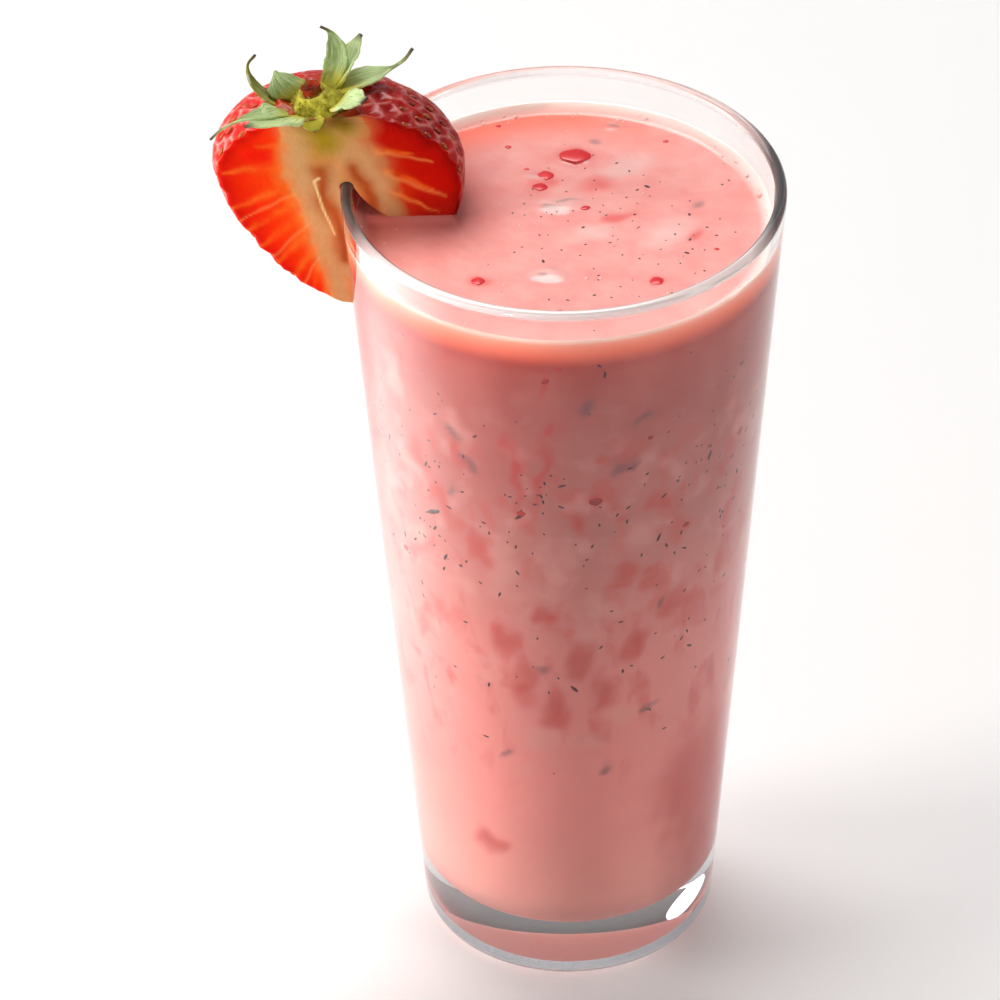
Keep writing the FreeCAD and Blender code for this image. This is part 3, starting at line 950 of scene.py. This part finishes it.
def hubRadiusAt(z):
    # the dome is part of a ball of radius (r^2 + h^2) / 2h
    ball = (calyx["hubRadius"] ** 2 + calyx["hubHeight"] ** 2) / (2 * calyx["hubHeight"])
    return np.sqrt(np.maximum(ball ** 2 - (z - calyx["hubHeight"] + ball) ** 2, 0))


def closedOnBerry(name, grid, base):
    # rings about the calyx's axis, closed at a height base and at the last ring, then put on the berry
    low, high = onBerry(np.array([[0, 0, base], [0, 0, grid[-1, :, 2].mean()]]))
    return closedPiece(name, onBerry(grid), low, high)


def buildHub():
    # dome with five soft lobes and a sunken ring where the stem stands
    t = np.linspace(0.05, 0.985, 26)
    z = calyx["hubHeight"] * t
    dome = np.column_stack([hubRadiusAt(z), z])
    bowl = np.linspace(1, 0.2, 8)
    crater = np.column_stack([calyx["craterRadius"] * bowl * 0.98,
                              calyx["hubHeight"] - 0.12 - calyx["craterDepth"] * (1 - bowl ** 2)])
    dome = dome[dome[:, 0] > calyx["craterRadius"] * 1.12]
    base = 0.02
    profile = np.vstack([[(calyx["hubRadius"] * 0.5, base), (calyx["hubRadius"] * 0.97, base)], dome, crater])
    grid = lathe(profile, 96)
    turn = np.arctan2(grid[..., 1], grid[..., 0])
    spread = 1 + 0.07 * np.cos(5 * turn + 0.6) * np.clip(np.hypot(grid[..., 0], grid[..., 1]) / 3 - 0.6, 0, 1)
    grid = grid * np.stack([spread, spread, 1 + 0 * spread], -1)
    grid[..., 2] += 0.10 * softNoise(grid, 1.6, 8, 21)
    piece = closedOnBerry("calyxHub", grid, base)
    material, tree, shader = newMaterial("hubFuzz")
    coords = objectPlace(tree)
    tone = ramp(tree, noise(tree, coords, 620.0, 4.0), [(0.3, rgb(138, 128, 8)), (0.5, rgb(190, 180, 24)),
                                                       (0.7, rgb(220, 214, 92))])
    setInputs(shader, {"Base Color": tone, "Roughness": 0.75, "Sheen Weight": 0.12, "Sheen Roughness": 0.5,
                       "Normal": bump(tree, noise(tree, coords, 1800.0, 3.0), 0.0003, 0.9)})
    piece.data.materials.append(material)
    attach(piece, "calyx")
    return material


def buildHairs(material):
    # thin cones standing on the dome, leaning outwards
    count = calyx["hairs"]
    z = calyx["hubHeight"] * seeded.uniform(0.08, 0.93, count)
    turn = seeded.uniform(0, 2 * np.pi, count)
    r = hubRadiusAt(z) * 0.98
    foot = np.column_stack([r * np.cos(turn), r * np.sin(turn), z])
    ball = (calyx["hubRadius"] ** 2 + calyx["hubHeight"] ** 2) / (2 * calyx["hubHeight"])
    out = unit(foot - (0, 0, calyx["hubHeight"] - ball))
    out = unit(out + seeded.normal(0, 0.45, (count, 3)))
    side = unit(np.cross(out, seeded.normal(size=(count, 3))))
    axes = np.stack([side, np.cross(out, side), out], 1)
    size = np.column_stack([np.full(count, 0.055), np.full(count, 0.055), seeded.uniform(0.35, 0.95, count)])
    three = np.radians([0, 120, 240])
    cone = np.vstack([np.column_stack([np.cos(three), np.sin(three), 0 * three]), [[0, 0, 1]]])
    faces = np.array([(0, 1, 3), (1, 2, 3), (2, 0, 3), (2, 1, 0)])
    piece = scatter("calyxHairs", cone, faces, foot, axes, size)
    points = np.empty(len(piece.data.vertices) * 3)
    piece.data.vertices.foreach_get("co", points)
    piece.data.vertices.foreach_set("co", (onBerry(points.reshape(-1, 3) / mm) * mm).ravel())
    piece.data.materials.append(material)
    attach(piece, "calyx")


def buildStem():
    # a snapped stub: sides flare a little at the foot, top sunken and torn
    base = calyx["hubHeight"] - 1.0
    z = np.linspace(0, 1, 12)
    sides = np.column_stack([calyx["stemRadius"] * (1 - 0.12 * np.sin(np.pi * z)),
                             base + calyx["stemHeight"] * z])
    inward = np.linspace(0.9, 0.1, 8)
    top = np.column_stack([calyx["stemRadius"] * inward,
                           base + calyx["stemHeight"] * (1 - 0.32 * (1 - inward ** 2))])
    grid = lathe(np.vstack([sides, top]), 48)
    grid[..., 2] += 0.14 * softNoise(grid, 1.1, 8, 33) * (grid[..., 2] > base + 1.2)
    grid[..., :2] *= 1 + 0.05 * softNoise(grid, 0.9, 8, 34)[..., None]
    piece = closedOnBerry("stemStub", grid, base)
    setFloat(piece, "middle", np.append(np.hypot(grid[..., 0], grid[..., 1]) / calyx["stemRadius"], (0, 0)))
    material, tree, shader = newMaterial("stemScar")
    coords = objectPlace(tree)
    edge = between(tree, attribute(tree, "middle"), 0.35, 0.95)
    tone = mixColour(tree, edge, rgb(98, 8, 4), rgb(164, 38, 10))
    tone = mixColour(tree, between(tree, noise(tree, coords, 900.0, 3.0), 0.45, 0.65), tone, rgb(104, 66, 20))
    setInputs(shader, {"Base Color": tone, "Roughness": 0.85, "Specular IOR Level": 0.2,
                       "Normal": bump(tree, noise(tree, coords, 1600.0, 3.0), 0.0004, 0.9)})
    piece.data.materials.append(material)
    attach(piece, "stem", "stem")


buildLeaves()
buildHairs(buildHub())
buildStem()
print("calyx and stem grown")


# ---- smoothie

smoothie = {
    "level": glass["height"] - 7.5,
    "wallEdge": glass["height"] - 6.0,  # the drink climbs the wall to here
    "meniscusWidth": 2.2,
    "intoWall": 0.1,
    "columns": 300,
    "sideRows": 150,
    "topRows": 110,
    "ripple": 0.05,
    # how far the painted shadow of the berry reaches over the top
    "berryShadowReach": 15.0,
    "nearBerry": (1.6, 0.7),  # reach and rise of the drink's edge against the berry
    # places of things under the surface: x, y, half length, half width, turn, height (mm, degrees)
    "lumps": [(-0.6, 5.5, 3.7, 2.2, 8, 0.55), (-2.8, -14.7, 2.8, 1.7, -5, 0.4),
              (2.2, 19.7, 3.0, 1.9, 0, 0.25), (-4.3, 13.6, 2.2, 1.4, 0, 0.15),
              (6.2, 11.6, 3.2, 2.2, 20, 0.15), (8.6, 28.6, 1.6, 1.1, 0, 0.2)],
}

# stains on the top, and among the grey ones painted shade at the lumps' edges: x, y, half length, half width,
# turn
topStains = {
    "rosy": [(6.2, 11.6, 3.4, 2.4, 20), (2.2, 19.7, 3.6, 2.5, 0), (-3.4, 12.4, 3.0, 2.4, 70),
             (14.9, -16.8, 1.7, 1.4, 0), (-14.3, -16.1, 1.7, 1.4, 0), (8.6, 2.0, 2.4, 1.2, 30),
             (21.5, -4.0, 2.0, 1.2, 60)],
    "pale": [(-0.6, 5.5, 3.6, 2.0, 8), (-2.8, -14.7, 2.8, 1.7, -5), (-4.3, 13.6, 2.0, 1.2, 10),
             (10.5, 16.0, 5.0, 3.0, 30), (17.0, -3.0, 5.5, 3.0, 50), (4.5, -3.0, 4.0, 2.0, 20)],
    "grey": [(-2.2, 4.4, 1.6, 0.8, 10), (0.6, 6.9, 2.2, 0.6, 5), (-4.0, -15.4, 1.2, 0.7, 20),
             (22.6, 4.9, 1.3, 0.8, 20), (6.1, 24.4, 0.9, 0.6, 0), (8.6, 28.6, 1.0, 0.7, 0)],
}
# stains on the wall: degrees from the front towards +X, height, half width, half height, lean
wallStains = {
    "rosy": [(-33, 116.4, 1.6, 3.2, 28), (29, 106.6, 2.8, 2.0, 0), (8, 109.3, 1.7, 1.5, 0),
             (3, 104, 2.0, 3.0, 20), (-7, 134.0, 0.8, 2.6, 0), (-52, 132, 1.0, 3.0, 16),
             (-4, 125, 1.2, 1.6, 0), (10, 118, 1.8, 1.2, 0), (17, 93, 1.9, 1.8, 20), (25, 92, 1.6, 1.7, 0),
             (-7, 84, 2.4, 1.6, 0), (17, 90.7, 2.4, 1.6, 0), (27, 89, 1.8, 1.8, 0),
             (-15, 114.5, 1.1, 9.5, 8), (-8, 114.5, 0.9, 7.5, -6), (-32.5, 29, 2.6, 2.6, 0),
             (-22, 78, 2.4, 3.4, 10), (-14, 68, 2.2, 5.0, 6), (-5, 62, 2.2, 4.0, -12),
             (4, 74, 2.0, 4.4, 10), (12, 66, 2.4, 3.2, 0), (21, 76, 2.2, 3.4, -10), (-28, 96, 1.8, 4.0, 14),
             (-40, 104, 2.0, 6.0, 24), (-48, 112, 2.0, 5.0, 20), (36, 82, 2.4, 4.0, 0),
             (55, 38, 9.0, 16.0, 0), (70, 26, 8.0, 14.0, 0)],
    "pale": [(-32, 122, 1.5, 2.6, 24), (-56, 126, 2.0, 4.0, 20), (-20, 92, 3.0, 5.0, 10),
             (-2, 96, 3.0, 4.0, 0), (10, 84, 2.6, 3.2, 0), (22, 100, 4.0, 3.0, 0), (-10, 56, 3.0, 2.6, 0),
             (6, 56, 3.4, 2.2, 0), (18, 60, 3.0, 2.4, 0)],
    "grey": [(-28, 114.4, 1.1, 1.6, 10), (-34, 121, 1.2, 1.8, 20), (6, 129, 0.8, 1.4, 0),
             (21, 125, 1.6, 1.0, 0), (27, 61, 1.3, 1.1, 0), (14, 49, 1.1, 1.0, 0), (-9, 71.6, 1.4, 0.8, 0),
             (-22, 51.4, 0.7, 0.7, 0), (16, 116, 1.0, 1.8, 0), (31, 84, 0.8, 1.2, 0),
             (-36, 108, 0.8, 1.2, 0)],
}


def spotField(u, v, spots):
    # the largest of exp(-q^3), q the distance in units of each turned ellipse
    field = np.zeros(u.shape)
    for cu, cv, a, b, turn in spots:
        c, s = math.cos(math.radians(turn)), math.sin(math.radians(turn))
        x, y = u - cu, v - cv
        square = ((x * c + y * s) / a) ** 2 + ((y * c - x * s) / b) ** 2
        field = np.maximum(field, np.exp(-square ** 1.5))
    return field


def berryGap(x, y):
    # rough distance outside the berry's outline at the drink's level
    s = smoothie["level"] - glass["height"] - berry["widestAboveRim"]
    middle = berryAxis(np.array(s))
    radius = berry["radius"] * (1 - abs(s / berry["taper"]) ** berry["taperPower"]) ** berry["taperRoot"]
    outside = np.hypot(x - middle[0], (y - middle[1]) / berry["depthShare"]) - radius
    return np.maximum(outside, berry["faceSetback"] - y)


def drinkWall(z):
    # the drink's radius at z: it reaches a little into the glass, so that no air shows between them
    return walls.inner(z) + smoothie["intoWall"]


def topHeight(x, y):
    # level + rise (1 - gap / width)^2 near the wall and the berry, + soft ripples + a dome over each lump
    s = smoothie
    d = np.clip(1 - (drinkWall(s["wallEdge"]) - np.hypot(x, y)) / s["meniscusWidth"], 0, 1)
    z = s["level"] + (s["wallEdge"] - s["level"]) * d ** 2
    reach, rise = s["nearBerry"]
    near = np.clip(1 - np.maximum(berryGap(x, y), 0) / reach, 0, 1)
    z = z + rise * near ** 2 * (1 - d)
    flat = np.stack([x, y, 0 * x], -1)
    z = z + s["ripple"] * (softNoise(flat, 9.0, 12, 5) + 0.35 * softNoise(flat, 2.6, 16, 6)) * (1 - d)
    for *lump, height in s["lumps"]:
        z = z + height * spotField(x, y, [lump])
    return z


def buildSmoothie():
    # one closed skin: up the glass's round corner and wall to the drink's edge, then in over the top
    s = smoothie
    floorZ = glass["floorThickness"] - s["intoWall"]
    corner = cornerArc(drinkWall, walls.innerSlope, floorZ, glass["floorRound"], 14, True)
    z = np.linspace(corner[-1, 1], s["wallEdge"], s["sideRows"])[1:]
    side = np.vstack([[(corner[0, 0] * 0.5, floorZ)], corner, np.column_stack([drinkWall(z), z])])
    sides = lathe(side, s["columns"])
    share = (np.arange(1, s["topRows"]) / s["topRows"]) ** 1.25
    r = drinkWall(s["wallEdge"]) * (1 - share)
    top = lathe(np.column_stack([r, 0 * r]), s["columns"])
    top[..., 2] = topHeight(top[..., 0], top[..., 1])
    grid = np.concatenate([sides, top])
    middle = (0, 0, float(topHeight(np.zeros(1), np.zeros(1))[0]))
    piece = closedPiece("smoothieBody", grid, (0, 0, floorZ), middle)
    x, y, z = grid[..., 0], grid[..., 1], grid[..., 2]
    azimuth = np.degrees(np.arctan2(x, -y))
    onWall = np.arange(len(grid))[:, None] < len(side)
    wobble, waver = 0.9 * softNoise(grid, 5.0, 14, 51), 0.9 * softNoise(grid, 5.0, 14, 52)
    arc = walls.inner(z) * np.pi / 180  # mm round the wall in one degree
    for name in topStains:
        wallField = np.zeros(x.shape)
        for place, *stain in wallStains[name]:
            along = (azimuth - place) * arc + wobble
            wallField = np.maximum(wallField, spotField(along, z + waver, [(0, *stain)]))
        values = np.where(onWall, wallField, spotField(x + 0.5 * wobble, y + 0.5 * waver, topStains[name]))
        setFloat(piece, name, np.append(values.ravel(), (0, 0)))
    # painted shadow of the berry on the top, fading with distance from it
    nearBerry = np.clip(1 - np.maximum(berryGap(x, y), 0) / s["berryShadowReach"], 0, 1) ** 1.7
    setFloat(piece, "berryShadow", np.append(np.where(onWall, 0, nearBerry).ravel(), (0, 0)))
    rows, columns = grid.shape[:2]
    isTop = np.zeros(len(piece.data.polygons), int)
    isTop[(len(side) - 1) * columns:(rows - 1) * columns] = 1
    isTop[-columns:] = 1
    piece.data.materials.append(smoothieSide())
    piece.data.materials.append(smoothieTop())
    piece.data.polygons.foreach_set("material_index", isTop)
    attach(piece, "smoothie", "smoothie")


def smoothieTop():
    # pink with fine mottling, rosier by the wall at the back, creamy where the edge climbs the glass, with a
    # painted shadow of the berry
    material, tree, shader = newMaterial("smoothieTop")
    coords = objectPlace(tree)
    x, y = placeParts(tree, coords, "XY")
    radius = axisDistance(tree, x, y)
    mottle = noise(tree, coords, 170.0, 4.0, 0.55)
    colour = ramp(tree, mottle, [(0.3, rgb(245, 158, 151)), (0.5, rgb(249, 168, 161)),
                                 (0.7, rgb(252, 177, 170))])
    ring = product(tree, between(tree, radius, 0.024, 0.031), between(tree, y, -0.012, 0.016))
    ring = product(tree, ring, between(tree, x, 0.024, 0.002))
    colour = mixColour(tree, ring, colour, rgb(248, 126, 108))
    colour = tint(tree, colour, attribute(tree, "rosy"), 0.65, rgb(234, 84, 84))
    colour = tint(tree, colour, attribute(tree, "pale"), 0.6, rgb(246, 206, 200))
    # grey: dark spots, and painted shade along the lumps' edges
    colour = tint(tree, colour, attribute(tree, "grey"), 0.6, rgb(150, 118, 120))
    berryShadow = product(tree, attribute(tree, "berryShadow"), 0.82)
    colour = mixColour(tree, berryShadow, colour, rgb(166, 70, 63))  # painted shadow of the berry on the drink, darkest beside it
    creamy = product(tree, between(tree, radius, 0.0322, 0.0343), maths(tree, "SUBTRACT", 1.0, berryShadow))
    colour = mixColour(tree, creamy, colour, rgb(255, 236, 228))
    setInputs(shader, {"Base Color": colour, "Roughness": 0.22, "Specular IOR Level": 0.4,
                       "Subsurface Weight": 0.35, "Subsurface Scale": 0.0015,
                       "Subsurface Radius": (1.0, 0.45, 0.4),
                       "Normal": bump(tree, noise(tree, coords, 420.0, 3.0), 0.00012, 0.5)})
    return material


def smoothieSide():
    # seen through the wall: a darker copy of the drink's colour as painted shade, with a painted orange glow
    # under the edge, mottled in the middle, plain and soft below, with a painted darker red shade low on the
    # right
    material, tree, shader = newMaterial("smoothieSide")
    coords = objectPlace(tree)
    x, z = placeParts(tree, coords, "XZ")
    # colour by height, partly the drink's own and partly painted: painted shade darkest towards the top, a
    # painted orange glow under the edge and a creamy edge
    colour = ramp(tree, between(tree, z, 0.0, 0.144), [
        (0.06, rgb(255, 182, 170)), (0.3, rgb(250, 162, 154)), (0.51, rgb(236, 152, 144)),
        (0.71, rgb(200, 126, 119)), (0.89, rgb(184, 96, 90)), (0.945, rgb(184, 84, 76)),
        (0.96, rgb(178, 68, 60)), (0.967, rgb(208, 84, 68)),
        (0.976, rgb(238, 112, 86)), (0.986, rgb(252, 142, 114)), (0.993, rgb(255, 168, 144)),
        (0.998, rgb(255, 222, 206))])
    cloud = noise(tree, coords, 60.0, 3.0)
    colour = tint(tree, colour, between(tree, cloud, 0.4, 0.7), 0.3, rgb(226, 150, 142))
    band = product(tree, between(tree, z, 0.036, 0.06), between(tree, z, 0.134, 0.112))
    redPatch = between(tree, noise(tree, stretched(tree, coords, 0.55), 210.0, 3.0, 0.5, 0.4), 0.52, 0.68)
    colour = tint(tree, colour, product(tree, redPatch, band), 0.45, rgb(214, 78, 74))
    palePatch = between(tree, noise(tree, coords, 190.0, 2.0, 0.45), 0.52, 0.74)
    colour = tint(tree, colour, product(tree, palePatch, band), 0.4, rgb(236, 176, 168))
    # painted shade, darker red low on the right
    lowRightShade = product(tree, between(tree, x, 0.013, 0.023), between(tree, z, 0.05, 0.022))
    colour = tint(tree, colour, lowRightShade, 0.6, rgb(170, 58, 52))
    colour = tint(tree, colour, attribute(tree, "rosy"), 0.6, rgb(206, 60, 56))
    colour = tint(tree, colour, attribute(tree, "pale"), 0.4, rgb(236, 178, 168))
    colour = tint(tree, colour, attribute(tree, "grey"), 0.7, rgb(112, 88, 92))
    setInputs(shader, {"Base Color": colour, "Roughness": 0.55, "Specular IOR Level": 0.08,
                       "Subsurface Weight": 0.3, "Subsurface Scale": 0.0012,
                       "Subsurface Radius": (1.0, 0.45, 0.4)})
    return material


def plainMaterial(name, tones, scale, roughness):
    # a few tones broken up by noise
    material, tree, shader = newMaterial(name)
    stops = list(zip(np.linspace(0.36, 0.64, len(tones)).tolist(), tones))
    colour = ramp(tree, noise(tree, objectPlace(tree), scale), stops)
    setInputs(shader, {"Base Color": colour, "Roughness": roughness})
    return material


def wallPoints(azimuth, z):
    # on the drink's wall: angle from the front towards +X
    a, r = np.radians(azimuth), drinkWall(z)
    return np.column_stack([r * np.sin(a), -r * np.cos(a), z])


def wallAxes(azimuth, turn):
    # long side turned in the wall's own plane, short side, outward
    a, t = np.radians(azimuth), np.radians(turn)
    out = np.column_stack([np.sin(a), -np.cos(a), 0 * a])
    across = np.column_stack([np.cos(a), np.sin(a), 0 * a])
    up = np.tile((0.0, 0.0, 1.0), (len(a), 1))
    long = across * np.cos(t)[:, None] + up * np.sin(t)[:, None]
    return np.stack([long, np.cross(out, long), out], 1)


def topAxes(turn):
    # long side turned in the level plane, short side, upwards
    t = np.radians(turn)
    long = np.column_stack([np.cos(t), np.sin(t), 0 * t])
    up = np.tile((0.0, 0.0, 1.0), (len(t), 1))
    return np.stack([long, np.cross(up, long), up], 1)


specks = {
    "upper": 400,  # these stand about the height 108, and the rest anywhere on the wall
    "anywhere": 120,
    "leaders": 40,
    "followers": 170,  # these lie near one of the leaders
    "highest": 139,
    "lowest": 40,
    "onTop": 95,
}


def buildSpecks():
    # dark crumbs of seed, most of them in the upper half of the wall and on the right of the top
    count, near = specks["upper"] + specks["anywhere"], specks["followers"]
    azimuth = seeded.uniform(-180, 180, count)
    z = np.concatenate([seeded.normal(108, 19, specks["upper"]), seeded.uniform(46, 138, specks["anywhere"])])
    leader = seeded.integers(0, specks["leaders"], near)
    follower = slice(specks["leaders"], specks["leaders"] + near)
    azimuth[follower] = azimuth[leader] + seeded.normal(0, 4.5, near)
    z[follower] = z[leader] + seeded.normal(0, 3.2, near)
    z = np.where(z > specks["highest"], 250 - z, np.maximum(z, specks["lowest"]))
    template, faces = lyingBall(4, 6)
    long = np.exp(seeded.normal(-1.25, 0.6, count)) + 0.06
    size = np.column_stack([long, 0.10 + 0.2 * long, np.full(count, 0.10)])
    onWall = (wallPoints(azimuth, z), wallAxes(azimuth, seeded.normal(60, 50, count)), size)
    many = specks["onTop"]
    x, y = seeded.normal(11, 11, many * 3), seeded.normal(-1, 14, many * 3)
    keep = (np.hypot(x, y) < 31) & (berryGap(x, y) > 1.5)
    x, y = x[keep][:many], y[keep][:many]
    long = np.exp(seeded.normal(-1.75, 0.45, len(x))) + 0.04
    onTop = (np.column_stack([x, y, topHeight(x, y)]), topAxes(seeded.uniform(0, 180, len(x))),
             np.column_stack([long, 0.07 + 0.35 * long, 0.05 + 0.1 * long]))
    centre, axes, size = (np.concatenate(pair) for pair in zip(onWall, onTop))
    piece = scatter("seedSpecks", template, faces, centre, axes, size)
    tones = [rgb(34, 16, 14), rgb(92, 40, 34), rgb(52, 44, 50)]
    piece.data.materials.append(plainMaterial("seedSpeck", tones, 300.0, 0.4))
    attach(piece, "smoothie")


# red bits of fruit lying in the surface: half length, half width and turn come last
fruitBits = {
    # after x, y
    "top": [(2.2, 19.7, 2.7, 2.0, -4), (-2.9, 14.2, 1.5, 1.3, 10), (-3.8, 10.9, 1.3, 1.1, -10),
            (3.6, 4.5, 0.9, 0.6, 20), (-14.3, -16.1, 1.15, 1.15, 0), (14.9, -16.8, 1.2, 1.15, 30),
            (-10.6, 29.4, 0.5, 0.4, 0), (-9.0, 23.0, 0.6, 0.45, 0), (-6.0, 16.2, 0.5, 0.35, 0),
            (17.5, 24.0, 0.5, 0.4, 0), (25.0, -8.0, 0.45, 0.35, 0), (-1.0, -25.0, 0.5, 0.4, 0)],
    # after degrees from the front towards +X, height
    "side": [(-14, 106.4, 0.75, 0.6, 0), (-6, 135.3, 0.8, 0.5, 40), (-2.5, 138, 0.55, 0.4, 0),
             (8, 109.3, 1.1, 0.9, 0), (24, 121, 0.5, 0.4, 0), (38, 99, 0.7, 0.5, 0),
             (60, 112, 0.9, 0.6, 20), (95, 96, 1.0, 0.8, 0), (140, 118, 0.9, 0.7, 40),
             (178, 84, 1.1, 0.8, 0), (-150, 104, 0.8, 0.7, 0), (-110, 92, 1.1, 0.7, 10),
             (-84, 116, 0.9, 0.6, 0), (-60, 88, 0.8, 0.6, 30)],
}


def buildFruitBits():
    # small balls drawn out and bent, standing just proud of the drink
    top, side = np.array(fruitBits["top"]), np.array(fruitBits["side"])
    template, faces = lyingBall(8, 14)
    bend = 1 + 0.12 * np.sin(template[:, 0] * 5 + 1)[:, None] * (0, 1, 1)
    where = np.concatenate([np.column_stack([top[:, :2], topHeight(top[:, 0], top[:, 1]) - 0.02]),
                            wallPoints(side[:, 0], side[:, 1])])
    axes = np.concatenate([topAxes(top[:, 4]), wallAxes(side[:, 0], side[:, 4])])
    size = np.concatenate([np.column_stack([top[:, 2:4], 0.14 + 0.04 * top[:, 2]]),
                           np.column_stack([side[:, 2:4], np.full(len(side), 0.12)])])
    piece = scatter("fruitBits", template * bend, faces, where, axes, size)
    piece.data.materials.append(fruitRed())
    attach(piece, "smoothie")


def fruitRed():
    # bright where the bits float on top, and darker against the wall as painted shade
    material, tree, shader = newMaterial("fruitBit")
    coords = objectPlace(tree)
    z, = placeParts(tree, coords, "Z")
    shade = between(tree, noise(tree, coords, 500.0, 2.0), 0.36, 0.64)
    onTop = mixColour(tree, shade, rgb(216, 26, 36), rgb(232, 52, 54))
    # painted shade: the bits against the wall are darker copies of those on top
    onWall = mixColour(tree, shade, rgb(150, 10, 12), rgb(196, 34, 30))
    colour = mixColour(tree, between(tree, z, 0.1385, 0.1415), onWall, onTop)
    setInputs(shader, {"Base Color": colour, "Roughness": 0.3})
    return material


froth = {"count": 150, "loose": 40, "looseWithin": 30, "fromWall": 0.5}


def buildBubbles():
    # small domes of froth, gathered along the wall, with some loose ones on the rest of the top
    count, loose = froth["count"], froth["loose"]
    turn = seeded.uniform(0, 2 * np.pi, count)
    r = walls.inner(smoothie["level"]) - np.abs(seeded.normal(0, 1.2, count)) - froth["fromWall"]
    r[:loose] = froth["looseWithin"] * np.sqrt(seeded.uniform(0.02, 1, loose))
    x, y = r * np.cos(turn), r * np.sin(turn)
    keep = berryGap(x, y) > 1.0
    x, y = x[keep], y[keep]
    size = np.repeat(np.exp(seeded.normal(-1.7, 0.4, len(x)))[:, None], 3, 1) * (1, 1, 0.6)
    template, faces = unitBall(6, 10)
    piece = scatter("frothBubbles", template, faces, np.column_stack([x, y, topHeight(x, y)]),
                    topAxes(np.zeros(len(x))), size)
    piece.data.materials.append(plainMaterial("froth", [rgb(250, 176, 166), rgb(254, 200, 190)], 400.0, 0.15))
    attach(piece, "smoothie")


buildSmoothie()
buildSpecks()
buildFruitBits()
buildBubbles()
print("smoothie poured")
